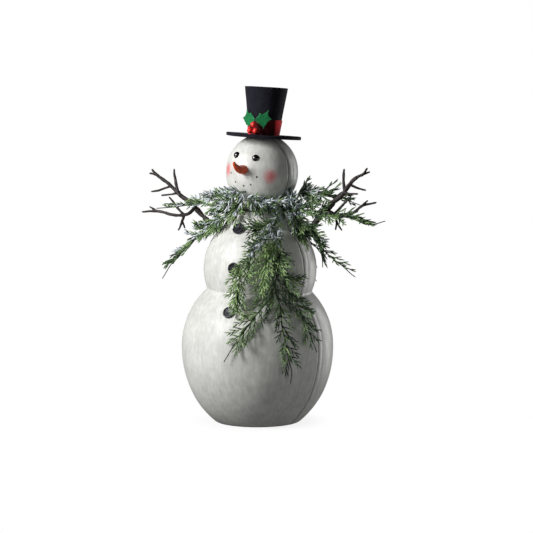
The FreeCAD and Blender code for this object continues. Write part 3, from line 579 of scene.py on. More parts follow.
def paint_band_front_shade(m, a0, a1, dark):
    """Painted shade on the front of the band: a much darker red between two directions round the hat's axis, on the
    side the lamps leave dark.
    """
    n = Net(m)
    sep = n.node("ShaderNodeSeparateXYZ")
    n.link(n.coord, sep.inputs[0])
    x = n.math("SUBTRACT", sep.outputs["X"], 0.0117)
    y = n.math("SUBTRACT", sep.outputs["Y"], 0.0045)
    az = n.math("ARCTAN2", x, n.math("MULTIPLY", y, -1.0))
    w = n.math("MULTIPLY", n.remap(az, math.radians(a0 - 5), math.radians(a0 + 5), 0, 1, "SMOOTHSTEP"), n.remap(az, math.radians(a1 - 4), math.radians(a1 + 4), 1, 0, "SMOOTHSTEP"))
    src = m.node_tree.nodes["Principled BSDF"].inputs["Base Color"].links[0].from_socket
    n.color(n.mix(n.math("MULTIPLY", w, 0.93), src, dark))


# painted shade: the front of the red band turned near-black between these directions
paint_band_front_shade(RED_FELT, -26, 73, (0.022, 0.002, 0.004))
GREEN_FELT = felt_material("green_felt", (0.004, 0.125, 0.035), (0.014, 0.265, 0.085))
VEIN = felt_material("green_felt_edge", (0.035, 0.22, 0.09), (0.085, 0.36, 0.16))
BARK = bark_material()
CARROT = carrot_material()
EYE = principled("black_gloss", (0.006, 0.006, 0.007), 0.09, Coat_Weight=1.0, Coat_Roughness=0.03)
BUTTON = simple_noise_material("button_navy", (0.008, 0.009, 0.015), (0.020, 0.021, 0.033), 420.0, 0.40, 0.15)
BERRY = simple_noise_material("berry_red", (0.80, 0.012, 0.010), (0.95, 0.040, 0.028), 300.0, 0.50, 0.25, Coat_Weight=0.08, Coat_Roughness=0.4)
WIRE = principled("wire_brown", (0.045, 0.052, 0.022), 0.55)
BOARD = simple_noise_material("board", (0.20, 0.13, 0.075), (0.36, 0.25, 0.155), 60.0, 0.75)
SOCKET = simple_noise_material("socket_wood", (0.30, 0.19, 0.10), (0.46, 0.32, 0.19), 80.0, 0.7)
# foliage: plain colours, several to a spray
STEM = principled("stem_green", (0.012, 0.024, 0.012), 0.55)
N_DARK = principled("needle_dark", (0.026, 0.052, 0.028), 0.50)
N_MID = principled("needle_mid", (0.080, 0.150, 0.062), 0.50)
N_LIGHT = principled("needle_light", (0.20, 0.32, 0.125), 0.48)
N_PALE = principled("needle_pale", (0.36, 0.52, 0.21), 0.48)
N_GREY = principled("needle_frosted", (0.47, 0.52, 0.54), 0.75)
FROST = principled("frost_grain", (0.78, 0.83, 0.88), 0.80)
FOLIAGE = [STEM, N_DARK, N_MID, N_LIGHT, N_PALE, N_GREY, FROST]

for n, mat in (("base_board", BOARD), ("left_arm_socket", SOCKET), ("right_arm_socket", SOCKET), ("top_button", BUTTON), ("middle_button", BUTTON),
               ("bottom_button", BUTTON), ("garland_ring_wire", WIRE), ("berry_wires", WIRE)):
    o = nodes[n]
    o.data.materials.clear()
    o.data.materials.append(mat)
    o.data.polygons.foreach_set("use_smooth", np.ones(len(o.data.polygons), bool))
    o.data.set_sharp_from_angle(angle=math.radians(35))

# ------------------------------------------------------------------ shells
finish_piece(make_shell("front_shell_skin", True, SNOW), "figure", ["front_shell"])
finish_piece(make_shell("rear_shell_skin", False, SNOW), "figure", ["rear_shell"])

# ------------------------------------------------------------------ twig arms
TWIGS = {
    "right_twig_arm": [
        [(-121.7, 0, 372.8, 5.1), (-138.8, 0, 386.0, 4.7), (-148.9, 0, 396.4, 4.3), (-162.0, 0, 403.6, 4.0), (-177.9, 1, 412.8, 3.8), (-186.9, 1, 420.0, 3.6), (-198.3, 0, 429.7, 3.3), (-211.2, -2, 437.8, 2.9), (-223.8, -3, 445.0, 2.5), (-232.7, -5, 455.3, 1.6)],
        [(-223.8, -3, 445.0, 2.2), (-242.6, 1, 446.3, 1.5)],
        [(-177.8, 1, 414.1, 2.7), (-184.9, 4, 430.7, 2.5), (-187.8, 6, 443.1, 2.1), (-189.8, 7, 456.4, 1.6)],
        [(-192.2, 1, 424.1, 2.4), (-207.8, 5, 420.0, 2.1), (-243.7, 10, 411.7, 1.5)],
        [(-177.2, 1, 411.5, 2.3), (-184.2, -3, 411.1, 2.1), (-210.1, -8, 407.1, 1.5)],
        [(-138.8, 0, 385.3, 3.4), (-151.2, -1, 375.0, 3.3), (-162.5, -2, 371.6, 3.2), (-175.3, -3, 370.4, 2.9), (-200.6, -3, 372.9, 2.5), (-224.9, -2, 376.9, 2.2), (-260.0, 0, 373.7, 1.5)],
        [(-224.9, -2, 376.9, 1.9), (-243.7, 2, 384.4, 1.4)],
        [(-160.7, -2, 372.0, 2.5), (-176.7, 2, 382.7, 2.2), (-187.1, 4, 391.5, 1.9), (-201.0, 5, 403.5, 1.45)],
        [(-161.6, -2, 371.6, 2.4), (-165.7, -5, 357.1, 2.1), (-171.4, -7, 343.5, 1.5)],
        [(-164.4, -4, 360.2, 1.8), (-159.7, -2, 347.0, 1.4)],
    ],
    "left_twig_arm": [
        [(152.1, 0, 399.5, 4.9), (160.1, 0, 407.3, 4.6), (172.8, 0, 416.4, 4.2), (182.7, 0, 425.3, 3.9), (191.9, 1, 438.3, 3.5), (200.3, 0, 447.9, 3.2), (213.3, -2, 455.3, 2.8), (222.6, -3, 459.7, 2.5), (232.9, -4, 471.5, 1.6)],
        [(222.6, -3, 459.7, 2.1), (235.4, 1, 464.7, 1.5)],
        [(183.5, 0, 426.4, 2.6), (179.2, 4, 445.4, 2.4), (179.1, 5, 455.5, 2.1), (179.5, 6, 468.2, 1.5)],
        [(193.8, 1, 440.5, 2.4), (209.3, 5, 434.4, 2.0), (224.1, 8, 430.9, 1.5)],
        [(183.7, 0, 426.7, 2.3), (195.5, -4, 424.9, 2.0), (217.0, -8, 424.8, 1.5)],
        [(145.6, 0, 393.9, 3.4), (161.9, -1, 386.7, 3.3), (178.0, -2, 386.4, 3.1), (194.5, -3, 388.5, 2.8), (209.3, -3, 395.0, 2.5), (220.3, -2, 403.0, 2.3), (229.9, 0, 406.6, 2.0), (247.5, 3, 410.5, 1.4)],
        [(220.3, -2, 403.0, 1.9), (235.2, -6, 414.8, 1.4)],
        [(163.3, -1, 386.8, 2.5), (171.1, 3, 394.9, 2.3), (179.8, 5, 405.3, 2.0), (187.0, 6, 413.1, 1.7), (194.0, 6, 420.2, 1.4)],
        [(162.1, -1, 386.4, 2.4), (170.1, -4, 375.1, 2.1), (168.7, -6, 359.5, 1.5)],
        [(169.7, -4, 375.8, 1.8), (183.8, -8, 358.5, 1.4)],
    ],
}


def twig(name, node_name, body, mouth, direction, seed):
    g = np.random.default_rng(seed)
    acc = Acc()
    for k, run in enumerate(TWIGS[node_name]):
        pts = [list(p) for p in run]
        if k == 0:
            inner = mouth - direction * 29.5
            pts = [[*inner, 5.2], [*(mouth - direction * 8), 5.2], [*(mouth + direction * 8), 5.25], [*(mouth + direction * 26), 5.1]] + pts
        p = spline(pts, 1.4)
        r = np.maximum(p[:, 3], 1.0)
        n = len(p)
        if k == 0:
            loose = np.clip((np.arange(n) * 1.4 - 44) / 12, 0, 1)
        else:
            loose = np.clip(np.arange(n) / 4, 0, 1)
        # small kinks and swellings, strongest toward the thin ends
        kink = np.stack([np.interp(np.arange(n), np.arange(0, n + 9, 9), g.normal(0, 0.55, len(np.arange(0, n + 9, 9)))) for _ in range(3)], 1)
        p3 = p[:, :3] + kink * loose[:, None]
        swell = 1 + loose * (0.09 * np.interp(np.arange(n), np.arange(0, n + 6, 6), g.normal(0, 1, len(np.arange(0, n + 6, 6)))))
        tipr = np.ones(n)
        tipr[-2:] = [0.9, 0.66]
        sides = 14
        a = np.arange(sides) / sides * 2 * math.pi
        ridges = 1 + loose[:, None] * (0.055 * np.sin(3 * a[None] + np.arange(n)[:, None] * 0.16 + seed) + 0.035 * g.normal(0, 1, (n, sides)))
        acc.tube(p3, (r * (1 + 0.06 * loose) * swell * tipr)[:, None] * ridges, sides)
        # buds and cut side stubs
        for _ in range(max(1, int(n / 26))):
            i = int(g.integers(max(3, int(n * 0.15)) if k else int(n * 0.42), n - 2))
            d = unit(g.normal(size=3))
            tang = unit(p3[min(i + 1, n - 1)] - p3[i - 1])
            d = unit(d - tang * d.dot(tang) * 0.6)
            rr = float(r[i])
            acc.tube([p3[i], p3[i] + d * rr * 1.15, p3[i] + d * rr * 1.55 + tang * rr * 0.3], [rr * 0.75, rr * 0.5, rr * 0.22], 8)
    o = acc.build(name, BARK)
    mod = o.modifiers.new("union", "REMESH")
    mod.mode = "VOXEL"
    mod.voxel_size = 0.00058
    mod.use_smooth_shade = True
    dg = bpy.context.evaluated_depsgraph_get()
    me = bpy.data.meshes.new_from_object(o.evaluated_get(dg))
    o.modifiers.clear()
    old = o.data
    o.data = me
    bpy.data.meshes.remove(old)
    me.materials.clear()
    me.materials.append(BARK)
    me.name = name
    return finish_piece(o, body, [node_name])


twig("left_twig", "left_twig_arm", "left_arm", LEFT_MOUTH, LEFT_DIR, 11)
twig("right_twig", "right_twig_arm", "right_arm", RIGHT_MOUTH, RIGHT_DIR, 23)

# ------------------------------------------------------------------ face


def head_normal(p):
    d = np.asarray(p) - np.array([10.1, 0, 457.0])
    return unit(d / np.array([65.7**2, 65.7**2, 69.7**2]))


def axes_for(n):
    n = unit(np.asarray(n, float))
    up = np.array([0, 0, 1.0])
    x = unit(np.cross(up, n))
    return x, np.cross(n, x), n


def eye(name, node_name, p):
    x, y, n = axes_for(head_normal(p))
    rows, cols = 18, 40
    V, F = [], []
    for i in range(rows + 1):
        t = i / rows * math.pi / 2
        rr, hh = 6.6 * math.cos(t) ** 0.92, 6.0 * math.sin(t) - 1.6
        for j in range(cols):
            a = 2 * math.pi * j / cols
            V.append(np.asarray(p) + x * rr * math.cos(a) + y * rr * math.sin(a) + n * hh)
    for i in range(rows):
        for j in range(cols):
            k = (j + 1) % cols
            F.append((i * cols + j, i * cols + k, (i + 1) * cols + k, (i + 1) * cols + j))
    c = len(V)
    V.append(np.asarray(p) - n * 1.6)
    T = [(c, (j + 1) % cols, j) for j in range(cols)]
    o = new_object(name, V, [F, T], EYE)
    o.data.set_sharp_from_angle(angle=math.radians(50))
    return finish_piece(o, "figure", [node_name])


eye("left_eye_dome", "left_eye", (31.6, -55.6, 486.0))
eye("right_eye_dome", "right_eye", (-9.5, -54.4, 490.1))

acc = Acc()
NOSE = [(12.1, -61.5, 464.5, 8.3), (12.1, -66.0, 464.6, 8.5), (12.1, -72.0, 465.0, 8.0), (12.1, -79.0, 466.2, 6.9), (12.1, -85.5, 468.8, 5.6), (12.0, -91.0, 472.6, 4.2),
        (11.9, -94.6, 476.8, 3.0), (11.8, -96.2, 479.6, 2.1)]
p = spline(NOSE, 0.8)
n_ = len(p)
a = np.arange(30) / 30 * 2 * math.pi
g = np.random.default_rng(5)
rad = p[:, 3][:, None] * np.ones((n_, 30))
for _ in range(11):  # short cross creases, as on a carrot
    i, j, w = int(g.integers(6, n_ - 6)), g.uniform(0, 6.28), g.uniform(0.5, 1.0)
    rad *= 1 - 0.05 * np.exp(-(((np.arange(n_) - i) / 1.3) ** 2))[:, None] * np.exp(-((np.angle(np.exp(1j * (a - j))) / w) ** 2))[None]
rad[-1] *= 0.5
acc.tube(p[:, :3], rad, 30)
finish_piece(acc.build("carrot_nose_skin", CARROT), "figure", ["carrot_nose"])

# ------------------------------------------------------------------ hat
def lathe(name, profile, mat, cols=128, wob=0.0, seed=0.0, closed=True, smooth_angle=40, squash_at=None):
    """A closed ring section (r, z) turned about the hat's axis, with a little hand-made waviness."""
    prof = np.asarray(profile, float)
    k = len(prof)
    V = []
    for j in range(cols):
        a = 2 * math.pi * j / cols
        c, s = math.cos(a), math.sin(a)
        for r, z in prof:
            w = wob * (noise.noise(Vector((c * 1.3 + seed, s * 1.3, z * 0.02))) + 0.45 * noise.noise(Vector((c * 4 + seed, s * 4, z * 0.06))))
            V.append(((r + w) * c, (r + w) * s, z + w * 0.35))
    idx = np.arange(cols * k).reshape(cols, k)
    nx = np.roll(idx, -1, 0)
    F = np.stack([idx, np.roll(idx, -1, 1), np.roll(nx, -1, 1), nx], -1).reshape(-1, 4)
    o = new_object(name, hat(V), F[:, ::-1], mat)
    o.data.set_sharp_from_angle(angle=math.radians(smooth_angle))
    return o


def dense(poly, step):
    out = []
    for (r0, z0), (r1, z1) in zip(poly, poly[1:] + poly[:1]):
        n = max(1, int(math.hypot(r1 - r0, z1 - z0) / step))
        out += [(r0 + (r1 - r0) * i / n, z0 + (z1 - z0) * i / n) for i in range(n)]
    return out


BT = 4.4
brim = lathe("brim_felt", dense([(22.2, 0.0), (46, 0.0), (58, -0.1), (66.9, 0.2), (67.9, 1.2), (68.2, 5.0), (67.2, 6.3), (58, 5.5), (46, 4.7), (22.2, 4.4)], 2.2), BLACK_FELT, cols=180, wob=0.35, seed=3.0)
# the rim lifts a little at the left and sags at the front
co_ = np.zeros(len(brim.data.vertices) * 3)
brim.data.vertices.foreach_get("co", co_)
co_ = co_.reshape(-1, 3)
rel = co_ / MM - HATM[:3, 3]
out_ = np.clip((np.linalg.norm(rel[:, :2], axis=1) - 36) / 32, 0, 1)
leftward = rel[:, :2] @ np.array([-0.84, -0.54]) / 68
front = rel[:, :2] @ np.array([0.54, -0.84]) / 68
co_[:, 2] += out_**1.2 * (np.where(leftward > 0, 1.9, 0.25) * leftward - 0.9 * front) * MM
brim.data.vertices.foreach_set("co", co_.ravel())
brim.data.update()
finish_piece(brim, "figure", ["hat_brim"])


def crown_r(z):
    return 26.6 + (39.3 - 26.6) * (z - BT) / 87.7


def crown_mesh():
    prof = []
    out = [(crown_r(z), z) for z in np.linspace(BT + 0.05, BT + 87.3, 40)]
    top = [(crown_r(BT + 87.7) - 0.5, BT + 87.8), (crown_r(BT + 87.7) - 1.5, BT + 87.9), (crown_r(BT + 87.7) - 2.6, BT + 87.75)]
    inn = [(crown_r(z) - 3.0, z) for z in np.linspace(BT + 87.1, BT + 0.05, 18)]
    return lathe("crown_felt", out + top + inn, BLACK_FELT, cols=160, wob=0.5, seed=8.0)


finish_piece(crown_mesh(), "figure", ["hat_crown"])

# crown top: a felt disc let into the crown, a little domed down
rows, cols = 14, 96
V, F, T = [], [], []
R1 = crown_r(BT + 85) - 3.1
for side in (0, 1):
    for i in range(1, rows + 1):
        r = R1 * i / rows
        for j in range(cols):
            a = 2 * math.pi * j / cols
            z = BT + 87.0 - 1.2 * (1 - (r / R1) ** 2) + 0.25 * noise.noise(Vector((math.cos(a) * r * 0.08, math.sin(a) * r * 0.08, 2.0)))
            V.append((r * math.cos(a), r * math.sin(a), z - side * 3.0))
c0, c1 = len(V), len(V) + 1
V += [(0, 0, BT + 85.8), (0, 0, BT + 82.8)]
m_ = rows * cols
for side in (0, 1):
    b = side * m_
    for i in range(rows - 1):
        for j in range(cols):
            k = (j + 1) % cols
            q = (b + i * cols + j, b + (i + 1) * cols + j, b + (i + 1) * cols + k, b + i * cols + k)
            F.append(q if side == 0 else q[::-1])
    for j in range(cols):
        k = (j + 1) % cols
        T.append((c0, b + j, b + k) if side == 0 else (c1, b + k, b + j))
for j in range(cols):
    k = (j + 1) % cols
    e = (rows - 1) * cols
    F.append((e + j, m_ + e + j, m_ + e + k, e + k))
o = new_object("crown_top_felt", hat(V), [F, T], BLACK_FELT)
o.data.set_sharp_from_angle(angle=math.radians(50))
finish_piece(o, "figure", ["hat_crown_top"])

# band: a felt strip with slightly uneven edges, turned as one closed ring
z0, z1 = BT + 0.25, BT + 29.1
prof = dense([(crown_r(z0) + 0.55, z0), (crown_r(z0) + 1.65, z0 + 0.3), (crown_r(z1) + 1.65, z1 - 0.5), (crown_r(z1) + 1.3, z1), (crown_r(z1) + 0.55, z1)], 1.9)
finish_piece(lathe("band_felt", prof, RED_FELT, cols=150, wob=0.32, seed=21.0), "figure", ["hat_band"])

# holly: two broad felt leaves with concave edges between their spines, drawn from the stalk
LEFT_LEAF = [(0, 1.3), (3.5, 4.2), (8.5, 12.0), (14.5, 9.3), (24.3, 16.6), (24.3, 6.2), (30.0, 0.5), (22.6, -4.6), (19.8, -9.6), (15.0, -16.2), (9.5, -10.4), (3.5, -4.6), (0, -1.3)]
RIGHT_LEAF = [(0, 1.3), (3.8, 4.8), (9.6, 11.8), (14.8, 10.2), (20.5, 17.6), (22.6, 7.0), (29.0, 1.0), (24.0, -4.8), (19.2, -11.6), (16.8, -11.0), (14.3, -14.8), (8.6, -9.8), (3.5, -4.6), (0, -1.3)]
SPINE_AT = {"left_holly_leaf": (2, 4, 6, 9), "right_holly_leaf": (2, 4, 6, 8, 10)}


def leaf(name, node_name, azimuth, offset, height, lean, outline, flip, seed):
    a = math.radians(azimuth)
    n = np.array([math.sin(a), -math.cos(a), 0])
    e = np.array([math.cos(a), math.sin(a), 0])
    r = math.radians(lean)
    ax = e * math.cos(r) + np.array([0, 0, 1]) * math.sin(r)
    ac = np.cross(n, ax) * (-1 if flip else 1)
    org = n * 33.4 + e * offset + np.array([0, 0, height])
    pts = np.array(outline, float)
    spines = SPINE_AT[node_name]
    cen = np.array([13.0, 0.3])
    ring = []
    for i in range(len(pts)):
        p, q = pts[i], pts[(i + 1) % len(pts)]
        k = 10
        for t in np.linspace(0, 1, k, endpoint=False):
            # edges bow inward, most beside a spine
            w = p + (q - p) * t
            bow = 0.75 * math.sin(math.pi * t) if (i in spines or (i + 1) % len(pts) in spines) else 0.1
            inward = cen - w
            ring.append(w + inward / max(1e-6, np.linalg.norm(inward)) * bow)
    ring = np.array(ring)
    m = len(ring)
    layers = 17
    V = []
    veins = [pts[i] for i in spines]

    def relief(x, y):
        mid = math.exp(-((y - 0.5 * x / 30) / 0.75) ** 2) * (1 if 1 < x < 28 else 0)
        v = mid
        for tip in veins:
            root = np.array([max(2.0, tip[0] - abs(tip[1]) * 0.75), 0.3])
            d = tip - root
            L = d.dot(d)
            t = min(1.0, max(0.0, ((x - root[0]) * d[0] + (y - root[1]) * d[1]) / L))
            dist = math.hypot(x - root[0] - d[0] * t, y - root[1] - d[1] * t)
            v = max(v, 0.75 * math.exp(-((dist / 0.6) ** 2)))
        return v

    for side in (1, 0):
        for li in range(layers):
            f = 1 - li / layers
            for w in ring:
                p = cen + (w - cen) * f
                z = 0.12 * noise.noise(Vector((p[0] * 0.3 + seed, p[1] * 0.3, 0))) + 0.0035 * ((p[0] - 13) ** 2 * 0.5 + p[1] ** 2) + 0.25 * math.sin(p[0] * 0.4 + seed) * (abs(p[1]) / 16)
                th = 1.3 * (1 - 0.4 * (f**14))
                rel = -0.42 * relief(p[0], p[1]) if side else 0.0
                V.append(org + ax * p[0] + ac * p[1] + n * (z + (th + rel if side else 0)))
    zc = 0.0
    V.append(org + ax * cen[0] + ac * cen[1] + n * (1.25 - 0.2))
    V.append(org + ax * cen[0] + ac * cen[1])
    V = np.array(V)
    idx = np.arange(layers * m).reshape(layers, m)
    nx = np.roll(idx, -1, 1)
    lo, ln_ = idx + layers * m, nx + layers * m
    top = np.stack([idx[:-1], nx[:-1], nx[1:], idx[1:]], -1).reshape(-1, 4)
    bot = np.stack([lo[:-1], lo[1:], ln_[1:], ln_[:-1]], -1).reshape(-1, 4)
    rim = np.stack([idx[0], lo[0], ln_[0], nx[0]], -1)
    c0 = 2 * layers * m
    t1 = np.stack([idx[-1], nx[-1], np.full(m, c0)], -1)
    t2 = np.stack([ln_[-1], lo[-1], np.full(m, c0 + 1)], -1)
    F = [np.concatenate([top, bot, rim]), np.concatenate([t1, t2])]
    if flip:
        F = [g[:, ::-1] for g in F]
    mi = np.zeros(len(F[0]) + len(F[1]), int)
    lay = np.repeat(np.arange(layers - 1), m)
    mi[: len(top)][lay <= 0] = 1
    mi[len(top) + len(bot) : len(F[0])] = 1
    o = new_object(name, hat(V), F, [GREEN_FELT, VEIN], True, mi)
    o.data.set_sharp_from_angle(angle=math.radians(55))
    return finish_piece(o, "figure", [node_name])


leaf("right_leaf_felt", "right_holly_leaf", -7.5, 5.8, 32.6, 177.7, RIGHT_LEAF, True, 2.0)
leaf("left_leaf_felt", "left_holly_leaf", 33.0, -17.3, 32.6, 3.2, LEFT_LEAF, False, 6.0)

V, F, T, off = [], [], [], 0
BERRIES = [(3.8, -42.3, 23.8), (-4.1, -41.2, 12.5), (7.9, -40.6, 12.5)]
for bi, c in enumerate(BERRIES):
    rows, cols = 20, 28
    for i in range(1, rows):
        t = math.pi * i / rows
        for j in range(cols):
            a = 2 * math.pi * j / cols
            d = np.array([math.sin(t) * math.cos(a), -math.cos(t), math.sin(t) * math.sin(a)])
            r = 5.25 * (1 + 0.02 * noise.noise(Vector(d * 2 + np.full(3, bi * 3.1)))) * (1 - 0.10 * math.exp(-((t / 0.28) ** 2)))
            V.append(np.array(c) + d * r)
    for i in range(rows - 2):
        for j in range(cols):
            k = (j + 1) % cols
            F.append((off + i * cols + j, off + (i + 1) * cols + j, off + (i + 1) * cols + k, off + i * cols + k))
    V += [np.array(c) + np.array([0, -5.25 * 0.88, 0]), np.array(c) + np.array([0, 5.25, 0])]
    c0 = off + (rows - 1) * cols
    for j in range(cols):
        k = (j + 1) % cols
        T += [(c0, off + j, off + k), (c0 + 1, off + (rows - 2) * cols + k, off + (rows - 2) * cols + j)]
    off = len(V)
finish_piece(new_object("berries_skin", hat(V), [F, T], BERRY), "figure", ["holly_berries"])
acc = Acc()
for c, depth in zip(BERRIES, (11.2, 11.7, 11.8)):
    w = spline([(c[0], c[1] + 4.5, c[2] + 0.6, 0.9), (c[0] - 0.04 * depth, c[1] + depth * 0.72, c[2] + 1.6, 0.9), (c[0] - 0.1 * depth, c[1] + depth + 0.6, c[2] + 0.8, 0.8)], 0.8)
    acc.tube(hat(w[:, :3]), w[:, 3], 8)
# the twist of wire that gathers the stalks and leaves
w = spline([(3.6, -38.6, 27.5, 0.85), (2.9, -38.2, 30.5, 0.9), (2.4, -37.9, 33.2, 0.85), (3.2, -37.6, 35.5, 0.7)], 0.8)
acc.tube(hat(w[:, :3]), w[:, 3], 8)
finish_piece(acc.build("berry_stalks", BARK), "figure", ["berry_wires"])

# ------------------------------------------------------------------ garland
SPRAYS = {
    "left_shoulder_frosted_spray": [
        (19.6, -68.8, 425.4, 9),
        (-3.9, -66.6, 422.3, 12),
        (-35.4, -48.0, 413.9, 13),
        (-72.7, -30.0, 410.1, 13),
        (-96.0, -26.0, 400.2, 12),
        (-121.5, -22.0, 398.8, 8),
        (-134.3, -21.0, 394.2, 6),
        (-159.0, -26.0, 389.4, 7),
        (-181.8, -32.0, 386.8, 4),
        (-200.6, -36.0, 385.0, 1.2),
    ],
    "left_hanging_spray": [
        (0.1, -58.4, 403.9, 9),
        (-19.6, -61.4, 387.1, 12),
        (-52.0, -52.0, 370.6, 13),
        (-79.5, -44.0, 355.2, 13),
        (-102.5, -40.0, 341.0, 13),
        (-120.4, -38.0, 323.1, 12),
        (-138.9, -37.0, 310.6, 12),
        (-151.8, -36.0, 296.1, 10),
        (-167.5, -35.0, 283.5, 7),
        (-189.3, -34.0, 254.4, 1.2),
    ],
    "left_middle_spray": [
        (-4.9, -63.9, 409.5, 8),
        (-33.2, -54.0, 400.6, 11),
        (-60.1, -40.0, 394.1, 10),
        (-79.9, -40.0, 388.8, 3),
    ],
    "neck_front_spray": [
        (16.2, -63.2, 415.6, 7),
        (31.6, -54.0, 407.6, 10),
        (46.7, -41.1, 403.8, 11),
        (61.3, -20.6, 404.0, 10),
        (64.8, 4.4, 402.7, 7),
    ],
    "right_shoulder_spray": [
        (67.9, 26.6, 417.8, 8),
        (89.7, 19.0, 420.5, 12),
        (110.4, 16.0, 421.0, 13),
        (131.7, 18.0, 418.5, 13),
        (152.1, 20.0, 415.9, 11),
        (168.4, 24.0, 413.2, 7),
        (181.7, 30.0, 407.4, 4),
        (194.2, 36.0, 402.2, 1.2),
    ],
    "right_outer_spray": [
        (110.0, -34.0, 396.0, 9),
        (126.7, -34.0, 393.1, 11),
        (150.1, -28.0, 392.8, 12),
        (172.8, -26.0, 384.0, 11),
        (206.6, -30.0, 384.8, 11),
        (238.4, -36.0, 378.9, 10),
        (263.6, -40.0, 375.6, 4),
        (292.1, -44.0, 382.7, 1.2),
    ],
    "right_hanging_spray": [
        (107.2, -16.0, 371.4, 8),
        (132.1, -26.0, 354.1, 10),
        (148.6, -32.0, 339.5, 12),
        (159.6, -33.0, 325.9, 13),
        (182.4, -34.0, 309.5, 13),
        (200.3, -35.0, 299.6, 12),
        (216.7, -36.0, 287.8, 9),
        (228.1, -37.0, 281.1, 1.5),
    ],
    "right_knot_spray": [
        (74.1, -3.7, 398.1, 9),
        (83.8, -12.3, 381.0, 14),
        (92.3, -15.7, 363.6, 14),
        (104.1, -13.3, 345.9, 4),
    ],
    "chest_short_spray": [
        (68.7, -45.5, 364.6, 5),
        (63.0, -53.6, 364.7, 9),
        (54.1, -60.1, 366.7, 13),
        (45.3, -70.3, 359.9, 14),
        (35.8, -80.1, 353.0, 4),
    ],
    "chest_frosted_spray": [
        (66.7, -19.0, 395.1, 7),
        (67.2, -43.2, 369.7, 10),
        (70.6, -59.0, 350.2, 11),
        (64.6, -73.2, 341.6, 12),
        (50.0, -90.0, 330.2, 11),
        (42.2, -96.5, 324.1, 4),
    ],
    "front_green_spray": [
        (61.0, -79.7, 334.4, 6),
        (52.9, -93.4, 317.2, 11),
        (44.1, -102.8, 296.1, 14),
        (34.6, -110.9, 274.9, 14),
        (30.9, -110.2, 251.3, 12),
        (32.6, -117.7, 228.9, 9),
        (37.4, -128.3, 205.3, 2),
    ],
    "light_green_hanging_spray": [
        (80.5, -46.1, 351.5, 7),
        (74.6, -81.2, 317.9, 10),
        (75.5, -91.7, 299.2, 11),
        (76.8, -100.0, 281.3, 11),
        (70.8, -96.9, 259.3, 9),
        (65.5, -95.2, 237.5, 2),
    ],
    "long_trailing_spray": [
        (91.1, -54.8, 325.1, 9),
        (89.3, -74.6, 305.1, 13),
        (93.7, -82.4, 284.6, 13),
        (89.4, -79.5, 253.8, 12),
        (96.2, -75.4, 225.2, 11),
        (106.6, -85.0, 191.1, 11),
        (113.8, -86.7, 166.8, 11),
        (117.6, -85.8, 146.1, 10),
        (120.1, -81.8, 125.6, 9),
        (122.3, -77.5, 109.5, 6),
        (119.3, -76.4, 88.6, 1.2),
    ],
    "left_fork_spray": [
        (86.9, -77.2, 248.4, 7),
        (76.1, -88.8, 231.0, 10),
        (66.0, -111.1, 207.2, 12),
        (55.4, -127.3, 183.9, 11),
        (42.8, -137.4, 162.2, 8),
        (22.9, -145.7, 127.5, 1.2),
    ],
    "right_fork_spray": [
        (101.4, -74.3, 270.6, 7),
        (103.0, -50.4, 244.2, 10),
        (113.8, -43.3, 224.2, 11),
        (125.3, -43.0, 200.5, 11),
        (135.6, -40.5, 178.1, 9),
        (140.8, -38.0, 162.4, 6),
        (145.7, -29.9, 140.2, 1.2),
    ],
    "short_right_spray": [
        (94.2, -78.8, 286.1, 6),
        (104.8, -66.7, 275.0, 9),
        (111.9, -46.9, 270.0, 9),
        (116.4, -23.2, 262.6, 2),
    ],
    "left_neck_green_spray": [
        (9.9, -63.5, 413.6, 7),
        (-2.7, -60.7, 398.6, 10),
        (-3.4, -69.5, 381.1, 10),
        (-6.2, -75.0, 365.1, 3),
    ],
    "rear_left_spray": [
        (48.2, 47.5, 392.0, 7),
        (42.8, 55.5, 372.0, 12),
        (51.9, 80.7, 345.0, 13),
        (54.2, 96.0, 315.0, 13),
        (47.2, 103.8, 285.0, 12),
        (37.2, 104.2, 255.0, 10),
        (28.1, 112.7, 232.0, 6),
        (27.4, 128.7, 205.0, 1.2),
    ],
    "rear_right_spray": [
        (-29.9, 48.9, 392.0, 7),
        (-32.9, 61.2, 368.0, 12),
        (-42.9, 83.5, 340.0, 13),
        (-54.2, 91.6, 310.0, 12),
        (-62.1, 89.4, 285.0, 8),
        (-65.6, 84.6, 262.0, 1.2),
    ],
    "rear_center_spray": [
        (12.7, 62.8, 390.0, 7),
        (8.0, 77.0, 365.0, 12),
        (1.9, 98.7, 338.0, 12),
        (-9.8, 107.6, 312.0, 9),
        (-19.8, 108.8, 290.0, 1.2),
    ],
    "left_side_spray": [
        (68.4, 10.6, 394.0, 7),
        (77.7, 22.6, 376.0, 11),
        (87.9, 36.8, 352.0, 13),
        (97.0, 52.9, 326.0, 12),
        (99.0, 63.2, 302.0, 8),
        (97.1, 69.2, 282.0, 1.2),
    ],
    "right_side_spray": [
        (-51.3, 17.1, 392.0, 7),
        (-60.8, 26.7, 370.0, 11),
        (-79.5, 41.4, 345.0, 12),
        (-87.1, 55.5, 318.0, 9),
        (-88.4, 63.2, 296.0, 1.2),
    ],
    "rear_neck_spray": [
        (-6.7, 56.0, 398.0, 6),
        (6.3, 58.0, 400.0, 9),
        (20.3, 56.2, 401.0, 9),
        (35.8, 51.7, 399.0, 4),
    ],
}
